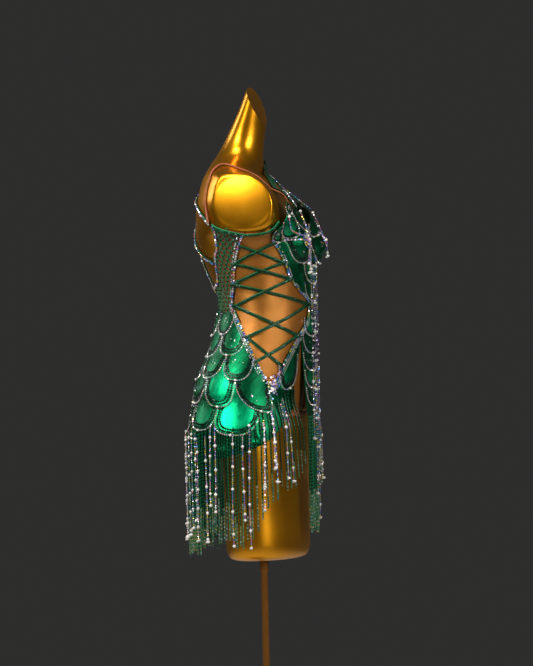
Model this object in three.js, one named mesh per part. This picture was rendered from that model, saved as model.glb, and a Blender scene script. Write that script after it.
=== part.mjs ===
// Salsa dance dress worn on a limbless dress form that stands on a pole and a round plate.
// Millimetres, +Z up. The wearer faces -Y and the wearer's right side is -X.
// Angles run round the figure in degrees: 0 centre front, 90 wearer's right, 180 centre back,
// -90 wearer's left. The origin is the middle of the plate's underside, on the pole's axis.
import * as THREE from "three";

// ---- Driving dimensions ----
const ARM_PLANE = 172; // half the width across the flat arm caps
const FORM_FOOT = 620; // underside of the thigh block
const NECK_BASE = 1402; // where the neck's rings start to lean towards its slanted cut
const NECK_CUT = { y: -23.3, z: 1439, rise: 2.45 }; // front point of the cut, and its rise per mm of Y
const FORM_SECTORS = 48;
const NECK_RINGS = 5;

const WALL = 1.2; // cloth
const INNER_LAYER = 1.2; // foot of the mesh and net layer above the figure
const OUTER_LAYER = 3.8; // foot of the satin layer above the figure
const ON_SATIN = OUTER_LAYER + WALL + 0.4; // foot of what lies on the satin
const ON_MESH = INNER_LAYER + WALL + 1; // foot of what lies on the mesh or net
const SEAM_ANGLE = 0.25; // half the gap between neighbouring pieces, in degrees
const SEAM = 0.3; // gap between neighbouring pieces

const HIP_Z = 930; // below this the skirt hangs clear of the figure
const SKIRT_FLARE = 13; // how far the hem stands out beyond the hip
const FLARE_DROP = 72; // height over which it reaches that
const SKIRT_ROWS = { hanging: 2, fitted: 8 }; // rows of facets below and above the hip
const HEM_BAND = [890, 898]; // foot and head of the elastic that ends the nude mesh
const STRIP_Z = 1040; // below this the front strip hangs straight
const CUP_STAND = 11; // how far a cup's top edge stands off the chest
const CUP_STAND_FROM = 1222;
const CUP_STAND_TO = 1268;

// Crystal cluster on each cup's point.
const BROOCH = { angle: 25, z: 1219, lift: ON_SATIN + 5.5, radius: 9, depth: 6 };

const CORD_RADIUS = 1.7;
const CROSSING_RISE = 7; // how much higher one lace passes over the other
const LACE_STEPS = [-0.75, -0.5, -0.25, 0, 0.25, 0.5, 0.75]; // stations each side of a crossing
const CORD_SIDES = 8;

const POLE_RADIUS = 7;
const PLATE_RADIUS = 170;
const PLATE_THICKNESS = 9;
const PLATE_EDGE = 3;

const BUST = { across: 72, z: 1216, depth: 28, reach: 40, above: 52, below: 31 };

// ---- Colours ----
const finish = (color, roughness, metalness) => ({ color, roughness, metalness });
const GOLD = finish(0xd1921a, 0.28, 0.6);
const SATIN = finish(0x009a63, 0.32, 0.15);
const NET = finish(0x1e8a3c, 0.7, 0);
const NUDE = finish(0xb5763a, 0.6, 0);
const NUDE_ELASTIC = finish(0xc8743c, 0.6, 0);
const CORD = finish(0x0a6a3e, 0.5, 0.1);
const CRYSTAL = finish(0xdfe6e6, 0.12, 0.3);
const FRINGE = finish(0x1c7a4c, 0.35, 0.2);
const DARK_METAL = finish(0x8a6420, 0.35, 0.8);

// ---- Tables ----
const table = (columns, rows) =>
  rows.map((row) => Object.fromEntries(columns.map((name, i) => [name, row[i]])));

// The figure's level sections: half width, front and back depth, squareness of the outline, and how
// far the shoulders turn, the right one forward and the left one back.
const FIGURE = table(
  ["z", "half", "front", "back", "square", "turn"],
  [
    [620, 112, -62, 44, 2.2, 0],
    [623, 124, -71, 53, 2.2, 0],
    [630, 133, -77, 58, 2.2, 0],
    [645, 138, -80, 61, 2.2, 0],
    [715, 142, -79, 61, 2.2, 0],
    [812, 152, -80, 68, 2.25, 0],
    [860, 161, -80, 92, 2.25, 0],
    [890, 165, -80, 106, 2.2, 0],
    [930, 167, -85, 112, 2.15, 0],
    [987, 155, -93, 96, 2.1, 0],
    [1021, 140, -97, 82, 2.05, 0],
    [1060, 124, -100, 74, 2, 0],
    [1091, 117, -102, 68, 2, 0],
    [1120, 118, -103, 70, 2, 0],
    [1158, 126, -104, 86, 2.05, 2],
    [1182, 132, -101, 95, 2.1, 5],
    [1205, 140, -96, 106, 2.2, 12],
    [1224, 151, -88, 109, 2.4, 24],
    [1236, 166, -82, 108.5, 2.6, 34],
    [1248, 177, -77, 108, 2.8, 40],
    [1270, 187, -68, 107, 3, 44],
    [1295, 196, -58, 104, 3.1, 46],
    [1320, 199, -40, 98.5, 3, 49],
    [1340, 184, -22, 92, 2.7, 46],
    [1351, 150, -8, 85, 2.4, 30],
    [1361, 118, -7, 80, 2.2, 14],
    [1373, 86, -10, 77, 2.1, 4],
    [1386, 62, -13, 71, 2, 0],
    [1402, 50, -15, 62.5, 2, 0],
    [1420, 45, -18, 53, 2, 0],
    [1440, 44, -21, 42.5, 2, 0],
    [1471, 44, -26, 27, 2, 0],
    [1525, 44, -33, 3, 2, 0],
  ],
);

// Ring heights between the rows above, so that the bust and the shoulders stay round.
const EXTRA_RINGS = [760, 958, 1004, 1040, 1075, 1105, 1139, 1193, 1214, 1259, 1282, 1308, 1331];

// Edge of the front panel, from under the cups to the foot of the free strip.
const FRONT_PANEL_EDGE = table(
  ["z", "angle"],
  [
    [890, 13],
    [920, 15],
    [949, 17],
    [987, 19],
    [1019, 20.4],
    [1030, 22.5],
    [1044, 25],
    [1068, 14.5],
    [1087, 12],
    [1104, 12],
    [1127, 29],
    [1150, 40],
    [1177, 46.5],
  ],
);

// Edges of a bust cup: centre-front side and underarm side.
const CUP_EDGES = table(
  ["z", "inner", "outer"],
  [
    [1177.6, 0.4, 46.5],
    [1207, 0.4, 54],
    [1228, 0.8, 57.5],
    [1240, 3, 58],
    [1252, 8, 50],
    [1262, 11.5, 43.5],
    [1272, 16, 39],
    [1282, 21, 34.5],
    [1291, 26, 30],
  ],
);

// The two slanting sides of the laced opening at the right side, front and back.
const OPENING_FRONT = table(
  ["z", "angle"],
  [
    [951, 47],
    [981, 42],
    [1015, 35],
    [1044, 25],
    [1068, 14.5],
    [1087, 12],
    [1104, 12],
    [1127, 29],
    [1150, 40],
    [1180, 47],
    [1207, 54],
    [1236, 58],
  ],
);
const OPENING_BACK = table(
  ["z", "angle"],
  [
    [951, 47],
    [962, 55],
    [992, 68],
    [1036, 86],
    [1072, 102],
    [1095, 112],
    [1142, 104],
    [1182, 94],
    [1213, 88],
    [1252, 88],
  ],
);

// How far a nude half runs on under the satin, in degrees beyond the opening's front and back edge.
const NUDE_SPREAD = table(
  ["z", "front", "back"],
  [
    [898.3, 46.8, 130],
    [908, 46.8, 127],
    [935, 46.8, 102],
    [962, 44, 74],
    [992, 39.4, 36],
    [1015, 34.6, 24],
    [1036, 24, 12],
    [1056, 9, 6],
    [1068, 4, -0.4],
    [1150, 4, -0.4],
    [1180, 3, -0.4],
    [1235, 3, -0.4],
  ],
);

// A net half, row by row from its foot to the underarm band: the height on the laced opening's edge,
// and the point on the other edge, which runs up centre back and then along the open back.
const NET_ROWS = table(
  ["row", "nearZ", "farAngle", "farZ"],
  [
    [0, 1084, 179.8, 1084],
    [1, 1096, 179.8, 1107],
    [2, 1107, 179.8, 1127],
    [3, 1113, 166, 1131],
    [4, 1120, 150, 1137],
    [5, 1130, 134, 1144],
    [6, 1144, 127, 1158],
    [7, 1163, 123, 1176],
    [8, 1182, 118, 1194],
    [9, 1200, 112, 1211],
    [10, 1218, 114, 1230],
    [11, 1236, 121, 1249],
  ],
);

// Skirt panel by angle: its top edge runs up one side of the laced opening and round the back.
const SKIRT_EDGES = table(
  ["angle", "hem", "top"],
  [
    [21, 908, 1018],
    [25, 903, 1043],
    [30, 895, 1030],
    [35, 886, 1015],
    [42, 872, 981],
    [47, 861, 951],
    [55, 847, 962],
    [68, 833, 992],
    [86, 820, 1036],
    [102, 813, 1072],
    [112, 811, 1094],
    [125, 809, 1087],
    [150, 806, 1094],
    [180, 804, 1089],
  ],
);

// How far down the fringe reaches, by angle.
const FRINGE_REACH = table(
  ["angle", "z"],
  [
    [21, 795],
    [31, 750],
    [55, 738],
    [64, 700],
    [76, 640],
    [95, 650],
    [115, 635],
    [180, 638],
  ],
);
const STRIP_FRINGE_REACH = 666;
const FRINGE_DEPTH = 4;

// Centre line of the right underarm band, in angle and height.
const UNDERARM_BAND = table(
  ["angle", "z", "lift", "width"],
  [
    [49, 1255, ON_SATIN, 8],
    [58, 1246, ON_SATIN, 8],
    [64, 1240, ON_SATIN, 8],
    [70, 1236, ON_MESH, 8],
    [80, 1234, ON_MESH, 8],
    [89, 1234, ON_MESH, 8],
    [97, 1238, ON_MESH, 8],
    [107, 1242, ON_MESH, 8],
    [116, 1247, ON_MESH, 8],
    [121, 1251, ON_MESH, 8],
  ],
);

// Straps, by distance across (the wearer's left is positive) and height on the front or the back.
// On a row marked "top" the strap crosses the shoulder's ridge at that height.
const STRAP_COLUMNS = ["face", "across", "z", "lift", "width"];
const FRONT_STRAP_WIDE = table(STRAP_COLUMNS, [
  ["front", -86, 1283, 18.2, 40],
  ["front", -62, 1297, 13.6, 30],
  ["front", -36, 1311, 5, 24],
  ["front", -10, 1327, 2.5, 19],
  ["front", 14, 1341, 3, 16],
  ["front", 36, 1353, 4, 14],
  ["front", 54, 1364, 3.5, 13],
  ["front", 64, 1373, 3.5, 12],
  ["top", 0, 1380, 3, 11],
  ["back", 66, 1371, 3, 11],
  ["back", 66, 1358, 3, 11],
]);
const FRONT_STRAP_NARROW = table(STRAP_COLUMNS, [
  ["front", 62, 1270, 20, 12],
  ["front", 68, 1285, 14, 11],
  ["front", 73, 1302, 8, 10],
  ["front", 78, 1321, 3, 9],
  ["front", 83, 1340, 2.5, 9],
  ["front", 88, 1353, 2.5, 9],
  ["front", 91, 1361, 3, 8],
  ["top", 0, 1369, 3, 8],
  ["back", 91, 1361, 3, 8],
  ["back", 88, 1350, 3, 8],
]);
const BACK_STRAP_UPPER = table(STRAP_COLUMNS, [
  ["back", -157, 1255, 2.5, 8],
  ["back", -151, 1261, 2, 8],
  ["back", -136, 1273, 2, 8],
  ["back", -118, 1284, 2, 8],
  ["back", -87, 1295, 2, 8],
  ["back", -45, 1307, 2, 8],
  ["back", 0, 1319, 2, 8],
  ["back", 45, 1331, 2, 8],
  ["back", 84, 1344, 2, 8],
]);
const BACK_STRAP_MIDDLE = table(STRAP_COLUMNS, [
  ["back", -110, 1183, 3.2, 8],
  ["back", -96, 1190, 2.2, 8],
  ["back", -87, 1201, 2, 8],
  ["back", -74, 1214, 2, 8],
  ["back", -42, 1241, 2, 8],
  ["back", -4, 1272, 2, 8],
  ["back", 38, 1303, 2, 8],
  ["back", 76, 1331, 2, 8],
]);
const BACK_STRAP_LOWER = table(STRAP_COLUMNS, [
  ["back", -50, 1130, 3.2, 8],
  ["back", -44, 1140, 2.8, 8],
  ["back", -36, 1154, 2, 8],
  ["back", -12, 1198, 2, 8],
  ["back", 18, 1244, 2, 8],
  ["back", 50, 1286, 2, 8],
  ["back", 80, 1317, 2, 8],
]);
const NUDE_SHOULDER_STRAP = table(STRAP_COLUMNS, [
  ["front", -119, 1284, 18, 6],
  ["front", -121, 1294, 17.5, 6],
  ["front", -124, 1304, 12, 6],
  ["front", -130, 1314, 4, 6],
  ["front", -131, 1324, 2, 6],
  ["front", -125, 1340, 2, 6],
  ["front", -111, 1353, 2.5, 6],
  ["ridge", -106, 1364, 3, 6],
  ["back", -134, 1353, 2.5, 6],
  ["back", -146, 1338, 2, 6],
  ["back", -147, 1319, 2, 6],
  ["back", -151, 1299, 2, 6],
  ["back", -156, 1276, 2.2, 6],
  ["back", -158, 1264, 4.6, 6],
  ["back", -158, 1256, 5, 6],
]);

// Lace anchors at the right side. Each lace runs to and fro between the two edges of the opening.
const LACE_BACK = table(
  ["angle", "z", "lift"],
  [
    [87.5, 1213, ON_MESH],
    [96.5, 1179, ON_MESH],
    [105.5, 1141, ON_MESH],
    [108.5, 1099, ON_SATIN],
    [87, 1039, ON_SATIN],
    [70.5, 993, ON_SATIN],
  ],
);
const LACE_FRONT = table(
  ["angle", "z", "lift"],
  [
    [55.5, 1217, ON_SATIN + 1],
    [47.5, 1179, ON_SATIN],
    [38.5, 1148, ON_SATIN],
    [13, 1100, ON_SATIN],
    [27, 1041, ON_SATIN],
    [43.5, 988, ON_SATIN],
  ],
);

// ---- Interpolation ----
// Smooth value of one column, without overshoot between rows.
function sample(rows, key, column, at) {
  const last = rows.length - 2;
  let i = 0;
  while (i < last && at > rows[i + 1][key]) i++;
  const span = (k) => rows[k + 1][key] - rows[k][key];
  const slope = (k) => (rows[k + 1][column] - rows[k][column]) / span(k);
  const tangent = (k) => {
    if (k === 0) return slope(0);
    if (k === rows.length - 1) return slope(last);
    const [before, after] = [slope(k - 1), slope(k)];
    return before * after > 0 ? (2 * before * after) / (before + after) : 0;
  };
  const h = span(i);
  const t = THREE.MathUtils.clamp((at - rows[i][key]) / h, 0, 1);
  const [t2, t3] = [t * t, t * t * t];
  return (
    (2 * t3 - 3 * t2 + 1) * rows[i][column] +
    (t3 - 2 * t2 + t) * h * tangent(i) +
    (3 * t2 - 2 * t3) * rows[i + 1][column] +
    (t3 - t2) * h * tangent(i + 1)
  );
}

const { lerp, degToRad, radToDeg, smoothstep } = THREE.MathUtils;

// ---- The figure's surface ----
function section(z) {
  const at = (column) => sample(FIGURE, "z", column, z);
  return { half: at("half"), front: at("front"), back: at("back"), square: at("square"), turn: at("turn") };
}

function figurePoint(angle, z) {
  const { half, front, back, square, turn } = section(z);
  const [s, c] = [Math.sin(degToRad(angle)), Math.cos(degToRad(angle))];
  const round = (value) => Math.sign(value) * Math.abs(value) ** (2 / square);
  const x = THREE.MathUtils.clamp(-half * round(s), -ARM_PLANE, ARM_PLANE);
  const across = (Math.abs(-half * round(s)) - BUST.across) / BUST.reach;
  const up = (z - BUST.z) / (z > BUST.z ? BUST.above : BUST.below);
  const bust = BUST.depth * Math.exp(-(across ** 2)) * Math.exp(-(up ** 2)) * smoothstep(c, 0, 0.4);
  const y = (front + back) / 2 - ((back - front) / 2) * round(c) - bust;
  return new THREE.Vector3(x, y + turn * Math.sign(x) * (x / ARM_PLANE) ** 2, z);
}

function figureNormal(angle, z) {
  const around = figurePoint(angle + 0.5, z).sub(figurePoint(angle - 0.5, z));
  const up = figurePoint(angle, z + 1).sub(figurePoint(angle, z - 1));
  const normal = up.cross(around).normalize();
  const out = figurePoint(angle, z).sub(figurePoint(angle + 180, z));
  return normal.dot(out) < 0 ? normal.negate() : normal;
}

const clothPoint = (angle, z, lift) =>
  figurePoint(angle, z).addScaledVector(figureNormal(angle, z), lift);

// Below a holding height the cloth hangs straight down from it, standing out by its flare.
function hangingPoint(angle, z, lift, heldAt, flare) {
  const point = clothPoint(angle, Math.max(z, heldAt), lift + flare);
  point.z = Math.min(point.z, z);
  return point;
}

const skirtPoint = (angle, z, lift) =>
  hangingPoint(angle, z, lift, HIP_Z, SKIRT_FLARE * smoothstep(HIP_Z - z, 0, FLARE_DROP));

const stripPoint = (angle, z, lift) => hangingPoint(angle, z, lift, STRIP_Z, 0);

// The angle of the point that lies a given distance across, on the front or the back.
function angleAcross(face, across, z) {
  const { half, square } = section(z);
  const s = -Math.sign(across) * Math.min(Math.abs(across) / half, 1) ** (square / 2);
  const angle = radToDeg(Math.asin(s));
  return face === "front" ? angle : 180 - angle;
}

// ---- Solids ----
// A closed body between an inner and an outer grid of points, (columns + 1) by (rows + 1).
// With ring = true the last column is the first one again.
function wallGeometry(columns, rows, inner, outer, ring = false) {
  const across = ring ? columns : columns + 1;
  const positions = [];
  for (const skin of [inner, outer])
    for (let j = 0; j <= rows; j++)
      for (let i = 0; i < across; i++) positions.push(...skin(i / columns, j / rows).toArray());
  const sheet = across * (rows + 1);
  const at = (layer, i, j) => layer * sheet + j * across + (i % across);
  const faces = [];
  const quad = (a, b, c, d) => faces.push(a, b, c, a, c, d);
  for (let j = 0; j < rows; j++)
    for (let i = 0; i < columns; i++) {
      quad(at(1, i, j), at(1, i + 1, j), at(1, i + 1, j + 1), at(1, i, j + 1));
      quad(at(0, i, j), at(0, i, j + 1), at(0, i + 1, j + 1), at(0, i + 1, j));
    }
  for (let i = 0; i < columns; i++) {
    quad(at(0, i, 0), at(0, i + 1, 0), at(1, i + 1, 0), at(1, i, 0));
    quad(at(1, i, rows), at(1, i + 1, rows), at(0, i + 1, rows), at(0, i, rows));
  }
  if (!ring)
    for (let j = 0; j < rows; j++) {
      quad(at(1, 0, j), at(1, 0, j + 1), at(0, 0, j + 1), at(0, 0, j));
      quad(at(0, columns, j), at(0, columns, j + 1), at(1, columns, j + 1), at(1, columns, j));
    }
  return facingOut(positions, faces);
}

// Rings of points closed by a fan at each end.
function loftGeometry(rings) {
  const sectors = rings[0].length;
  const middle = (ring) => ring.reduce((sum, p) => sum.add(p), new THREE.Vector3()).divideScalar(sectors);
  const points = [...rings.flat(), middle(rings[0]), middle(rings.at(-1))];
  const [foot, head] = [points.length - 2, points.length - 1];
  const at = (i, j) => j * sectors + (i % sectors);
  const faces = [];
  for (let j = 0; j < rings.length - 1; j++)
    for (let i = 0; i < sectors; i++)
      faces.push(at(i, j), at(i + 1, j), at(i + 1, j + 1), at(i, j), at(i + 1, j + 1), at(i, j + 1));
  for (let i = 0; i < sectors; i++) {
    faces.push(foot, at(i + 1, 0), at(i, 0));
    faces.push(head, at(i, rings.length - 1), at(i + 1, rings.length - 1));
  }
  return facingOut(points.flatMap((p) => p.toArray()), faces);
}

// Turns every face round where the body's volume comes out negative.
function facingOut(positions, faces) {
  const corner = (i) => new THREE.Vector3().fromArray(positions, 3 * i);
  let volume = 0;
  for (let i = 0; i < faces.length; i += 3)
    volume += corner(faces[i]).dot(corner(faces[i + 1]).cross(corner(faces[i + 2])));
  if (volume < 0) faces.reverse();
  const geometry = new THREE.BufferGeometry();
  geometry.setAttribute("position", new THREE.Float32BufferAttribute(positions, 3));
  geometry.setIndex(faces);
  geometry.computeVertexNormals();
  return geometry;
}

// A cloth wall whose points are placed by angle and height.
function clothWall({ columns, rows, at, foot, wall = WALL, place = clothPoint, ring = false }) {
  const skin = (lift) => (u, v) => {
    const { angle, z } = at(u, v);
    return place(angle, z, lift + (typeof foot === "function" ? foot(angle, z) : foot));
  };
  return wallGeometry(columns, rows, skin(0), skin(wall), ring);
}

// A flat strap along a smooth line through its stations, each with a point, a normal and a width.
function strapGeometry(stations, steps, wall = WALL) {
  const line = new THREE.CatmullRomCurve3(stations.map((s) => s.point), false, "centripetal");
  const between = (t) => {
    const s = t * (stations.length - 1);
    const i = Math.min(Math.floor(s), stations.length - 2);
    return [stations[i], stations[i + 1], s - i];
  };
  const skin = (height) => (u, v) => {
    const [a, b, f] = between(v);
    const tangent = line.getTangent(v);
    const normal = a.normal.clone().lerp(b.normal, f);
    normal.addScaledVector(tangent, -normal.dot(tangent)).normalize();
    const side = new THREE.Vector3().crossVectors(normal, tangent);
    return line.getPoint(v)
      .addScaledVector(side, (u - 0.5) * lerp(a.width, b.width, f))
      .addScaledVector(normal, height);
  };
  return wallGeometry(1, steps, skin(0), skin(wall));
}

function strapStation({ face, across, z, lift, width }) {
  const ridge = Math.sign(across) < 0 ? 90 : -90;
  const onRidge = face === "top" || face === "ridge";
  const angle = onRidge ? ridge : angleAcross(face, across, z);
  return { point: clothPoint(angle, z, lift), normal: figureNormal(angle, z), width };
}

const strap = (rows, wall = WALL) => strapGeometry(rows.map(strapStation), 3 * (rows.length - 1), wall);

// A round cord along a smooth line.
function cordGeometry(points, steps) {
  const line = new THREE.CatmullRomCurve3(points, false, "centripetal");
  const round = new THREE.Shape();
  for (let i = 0; i < CORD_SIDES; i++) {
    const turn = (2 * Math.PI * i) / CORD_SIDES;
    const [x, y] = [CORD_RADIUS * Math.cos(turn), CORD_RADIUS * Math.sin(turn)];
    if (i === 0) round.moveTo(x, y);
    else round.lineTo(x, y);
  }
  return new THREE.ExtrudeGeometry(round, { steps, extrudePath: line, bevelEnabled: false });
}

// ---- Group and materials ----
const dress = new THREE.Group();

function add(name, geometry, look) {
  const mesh = new THREE.Mesh(geometry, new THREE.MeshStandardMaterial(look));
  mesh.name = name;
  dress.add(mesh);
}

const SIDES = [
  { name: "right", sign: 1 },
  { name: "left", sign: -1 },
];

// ---- Dress form and stand ----
function dressForm() {
  const ringAt = (heightAt) =>
    Array.from({ length: FORM_SECTORS }, (_, i) => {
      const angle = (360 * i) / FORM_SECTORS;
      return figurePoint(angle, heightAt(angle));
    });
  const heights = [...FIGURE.map((row) => row.z), ...EXTRA_RINGS].filter((z) => z <= NECK_BASE);
  const rings = heights.sort((a, b) => a - b).map((z) => ringAt(() => z));
  const cutHeight = (angle) => {
    let [low, high] = [NECK_BASE, FIGURE.at(-1).z];
    for (let i = 0; i < 40; i++) {
      const z = (low + high) / 2;
      const plane = NECK_CUT.z + NECK_CUT.rise * (figurePoint(angle, z).y - NECK_CUT.y);
      if (plane > z) low = z;
      else high = z;
    }
    return low;
  };
  for (let i = 1; i <= NECK_RINGS; i++)
    rings.push(ringAt((angle) => lerp(NECK_BASE, cutHeight(angle), i / NECK_RINGS)));
  return loftGeometry(rings);
}

function stand() {
  const pole = new THREE.CylinderGeometry(POLE_RADIUS, POLE_RADIUS, FORM_FOOT - PLATE_THICKNESS - 2 * SEAM, 24);
  pole.rotateX(Math.PI / 2).translate(0, 0, (FORM_FOOT + PLATE_THICKNESS) / 2);
  const profile = [
    new THREE.Vector2(0, 0),
    new THREE.Vector2(PLATE_RADIUS, 0),
    new THREE.Vector2(PLATE_RADIUS, PLATE_THICKNESS - PLATE_EDGE),
    new THREE.Vector2(PLATE_RADIUS - PLATE_EDGE, PLATE_THICKNESS),
    new THREE.Vector2(0, PLATE_THICKNESS),
  ];
  const plate = new THREE.LatheGeometry(profile, 48);
  plate.rotateX(Math.PI / 2);
  add("stand_pole", pole, DARK_METAL);
  add("stand_base", plate, DARK_METAL);
}

// ---- Garment panels ----
// A panel between two edges that are given by height.
function panelByHeight({ low, high, near, far, columns, rows, ...rest }) {
  const at = (u, v) => {
    const z = lerp(low, typeof high === "function" ? high(u) : high, v);
    return { z, angle: lerp(near(z), far(z), u) };
  };
  return clothWall({ columns, rows, at, ...rest });
}

function cup(sign) {
  const stand = (_, z) => OUTER_LAYER + 0.4 + CUP_STAND * smoothstep(z, CUP_STAND_FROM, CUP_STAND_TO);
  return panelByHeight({
    low: CUP_EDGES[0].z,
    high: CUP_EDGES.at(-1).z,
    near: (z) => sign * sample(CUP_EDGES, "z", "inner", z),
    far: (z) => sign * sample(CUP_EDGES, "z", "outer", z),
    columns: 7,
    rows: 10,
    foot: stand,
  });
}

function frontPanel() {
  const edge = (z) => sample(FRONT_PANEL_EDGE, "z", "angle", z) - SEAM_ANGLE;
  return panelByHeight({
    low: FRONT_PANEL_EDGE[0].z,
    high: FRONT_PANEL_EDGE.at(-1).z,
    near: (z) => -edge(z),
    far: edge,
    columns: 6,
    rows: 20,
    foot: OUTER_LAYER,
    place: stripPoint,
  });
}

function skirtPanel() {
  const from = SKIRT_EDGES[0].angle + SEAM_ANGLE;
  const rows = SKIRT_ROWS.hanging + SKIRT_ROWS.fitted;
  const atHip = SKIRT_ROWS.hanging / rows;
  const at = (u, v) => {
    const angle = lerp(from, 360 - from, u);
    const folded = Math.min(angle, 360 - angle);
    const edge = (column) => sample(SKIRT_EDGES, "angle", column, folded);
    const fitted = lerp(HIP_Z, edge("top") - SEAM, (v - atHip) / (1 - atHip));
    return { angle, z: v < atHip ? lerp(edge("hem"), HIP_Z, v / atHip) : fitted };
  };
  return clothWall({ columns: 48, rows, at, foot: OUTER_LAYER, place: skirtPoint });
}

const openingEdge = (rows, z) => sample(rows, "z", "angle", Math.max(z, rows[0].z));

function nudeHalf(sign) {
  const spread = (side, z) => sample(NUDE_SPREAD, "z", side, z);
  return panelByHeight({
    low: NUDE_SPREAD[0].z,
    high: NUDE_SPREAD.at(-1).z,
    near: (z) => sign * (openingEdge(OPENING_FRONT, z) - spread("front", z)),
    far: (z) => sign * (openingEdge(OPENING_BACK, z) + spread("back", z)),
    columns: 18,
    rows: 24,
    foot: INNER_LAYER,
    wall: 1,
  });
}

function netHalf(sign) {
  const last = NET_ROWS.length - 1;
  const at = (u, v) => {
    const along = (column) => sample(NET_ROWS, "row", column, v * last);
    const nearAngle = openingEdge(OPENING_BACK, along("nearZ")) + SEAM_ANGLE;
    return {
      angle: sign * lerp(nearAngle, along("farAngle"), u),
      z: lerp(along("nearZ"), along("farZ"), u),
    };
  };
  return clothWall({ columns: 7, rows: 16, at, foot: INNER_LAYER + 0.6, wall: 1 });
}

const hemBand = () =>
  clothWall({
    columns: FORM_SECTORS,
    rows: 1,
    at: (u, v) => ({ angle: 360 * u, z: lerp(...HEM_BAND, v) }),
    foot: INNER_LAYER,
    wall: 1.4,
    ring: true,
  });

function underarmBand(sign) {
  const station = ({ angle, z, lift, width }) => ({
    point: clothPoint(sign * angle, z, lift),
    normal: figureNormal(sign * angle, z),
    width,
  });
  return strapGeometry(UNDERARM_BAND.map(station), 27);
}

// ---- Laces ----
// A lace visits the anchors of the two edges in turn; the one that passes over rises at each crossing.
function laceGeometry(sign, startsAtBack, passesOver) {
  const anchors = LACE_BACK.map((row, i) => ((i % 2 === 0) === startsAtBack ? row : LACE_FRONT[i]));
  const partner = LACE_BACK.map((row, i) => ((i % 2 === 0) === startsAtBack ? LACE_FRONT[i] : row));
  const points = [];
  for (let i = 0; i < anchors.length; i++) {
    points.push(laceStation(sign, anchors[i], 0));
    if (i === anchors.length - 1) break;
    const cross = crossing(anchors[i], anchors[i + 1], partner[i], partner[i + 1]);
    for (const step of LACE_STEPS) {
      const t = step < 0 ? cross * (1 + step) : cross + (1 - cross) * step;
      const rise = passesOver && step === 0 ? CROSSING_RISE : 0;
      points.push(laceStation(sign, between(anchors[i], anchors[i + 1], t), rise));
    }
  }
  return cordGeometry(points, 40);
}

const between = (a, b, t) => ({ angle: lerp(a.angle, b.angle, t), z: lerp(a.z, b.z, t), lift: ON_MESH });

const laceStation = (sign, { angle, z, lift }, rise) =>
  clothPoint(sign * angle, z, lift + CORD_RADIUS + rise);

// Where the stretch a-b meets the stretch c-d, as a share of a-b.
function crossing(a, b, c, d) {
  const [rx, rz] = [b.angle - a.angle, b.z - a.z];
  const [sx, sz] = [d.angle - c.angle, d.z - c.z];
  return ((c.angle - a.angle) * sz - (c.z - a.z) * sx) / (rx * sz - rz * sx);
}

// ---- Fringe and brooch ----
// A plain wall as deep as the strings, hanging straight down from a hem.
function fringeWall({ columns, from, to, hem, reach, place }) {
  const skin = (depth) => (u, v) => {
    const angle = lerp(from, to, u);
    const point = place(angle, hem(angle), OUTER_LAYER + depth);
    point.z = lerp(reach(angle), hem(angle) - SEAM, v);
    return point;
  };
  return wallGeometry(columns, 1, skin(0), skin(FRINGE_DEPTH));
}

function fringes() {
  const folded = (angle) => Math.min(angle, 360 - angle);
  const from = SKIRT_EDGES[0].angle + 0.5;
  const skirt = fringeWall({
    columns: 48,
    from,
    to: 360 - from,
    hem: (angle) => sample(SKIRT_EDGES, "angle", "hem", folded(angle)),
    reach: (angle) => sample(FRINGE_REACH, "angle", "z", folded(angle)),
    place: skirtPoint,
  });
  const strip = fringeWall({
    columns: 6,
    from: -12.6,
    to: 12.6,
    hem: () => FRONT_PANEL_EDGE[0].z,
    reach: () => STRIP_FRINGE_REACH,
    place: stripPoint,
  });
  add("fringe_skirt", skirt, FRINGE);
  add("fringe_front", strip, FRINGE);
}

function brooch(sign) {
  const profile = [new THREE.Vector2(0, 0), new THREE.Vector2(BROOCH.radius, 0)];
  for (let i = 1; i <= 4; i++) {
    const turn = (i * Math.PI) / 8;
    profile.push(new THREE.Vector2(BROOCH.radius * Math.cos(turn), 1 + BROOCH.depth * Math.sin(turn)));
  }
  profile.at(-1).x = 0;
  const dome = new THREE.LatheGeometry(profile, 16);
  const normal = figureNormal(sign * BROOCH.angle, BROOCH.z);
  const seat = clothPoint(sign * BROOCH.angle, BROOCH.z, BROOCH.lift);
  dome.applyQuaternion(new THREE.Quaternion().setFromUnitVectors(new THREE.Vector3(0, 1, 0), normal));
  return dome.translate(seat.x, seat.y, seat.z);
}

// ---- Assembly ----
add("dress_form", dressForm(), GOLD);
stand();
add("front_panel", frontPanel(), SATIN);
add("skirt_panel", skirtPanel(), SATIN);
add("nude_hem_band", hemBand(), NUDE_ELASTIC);
for (const { name, sign } of SIDES) {
  add(`cup_${name}`, cup(sign), SATIN);
  add(`nude_side_${name}`, nudeHalf(sign), NUDE);
  add(`net_${name}`, netHalf(sign), NET);
  add(`underarm_band_${name}`, underarmBand(sign), SATIN);
  add(`lacing_${name}_a`, laceGeometry(sign, true, false), CORD);
  add(`lacing_${name}_b`, laceGeometry(sign, false, true), CORD);
  add(`brooch_${name}`, brooch(sign), CRYSTAL);
}
add("front_strap_wide", strap(FRONT_STRAP_WIDE), SATIN);
add("front_strap_narrow", strap(FRONT_STRAP_NARROW), SATIN);
add("back_strap_upper", strap(BACK_STRAP_UPPER), SATIN);
add("back_strap_middle", strap(BACK_STRAP_MIDDLE), SATIN);
add("back_strap_lower", strap(BACK_STRAP_LOWER), SATIN);
add("nude_shoulder_strap", strap(NUDE_SHOULDER_STRAP, 1), NUDE_ELASTIC);
fringes();

export default dress;
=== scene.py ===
"""Salsa dance dress worn on a limbless dress form: its looks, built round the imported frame.

Sizes are millimetres and become metres where a mesh is written. +Z is up, the wearer faces -Y and
the wearer's right side is -X. Angles run round the figure in degrees: 0 centre front, 90 wearer's
right, 180 centre back, negative on the wearer's left.
"""

from __future__ import annotations

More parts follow.
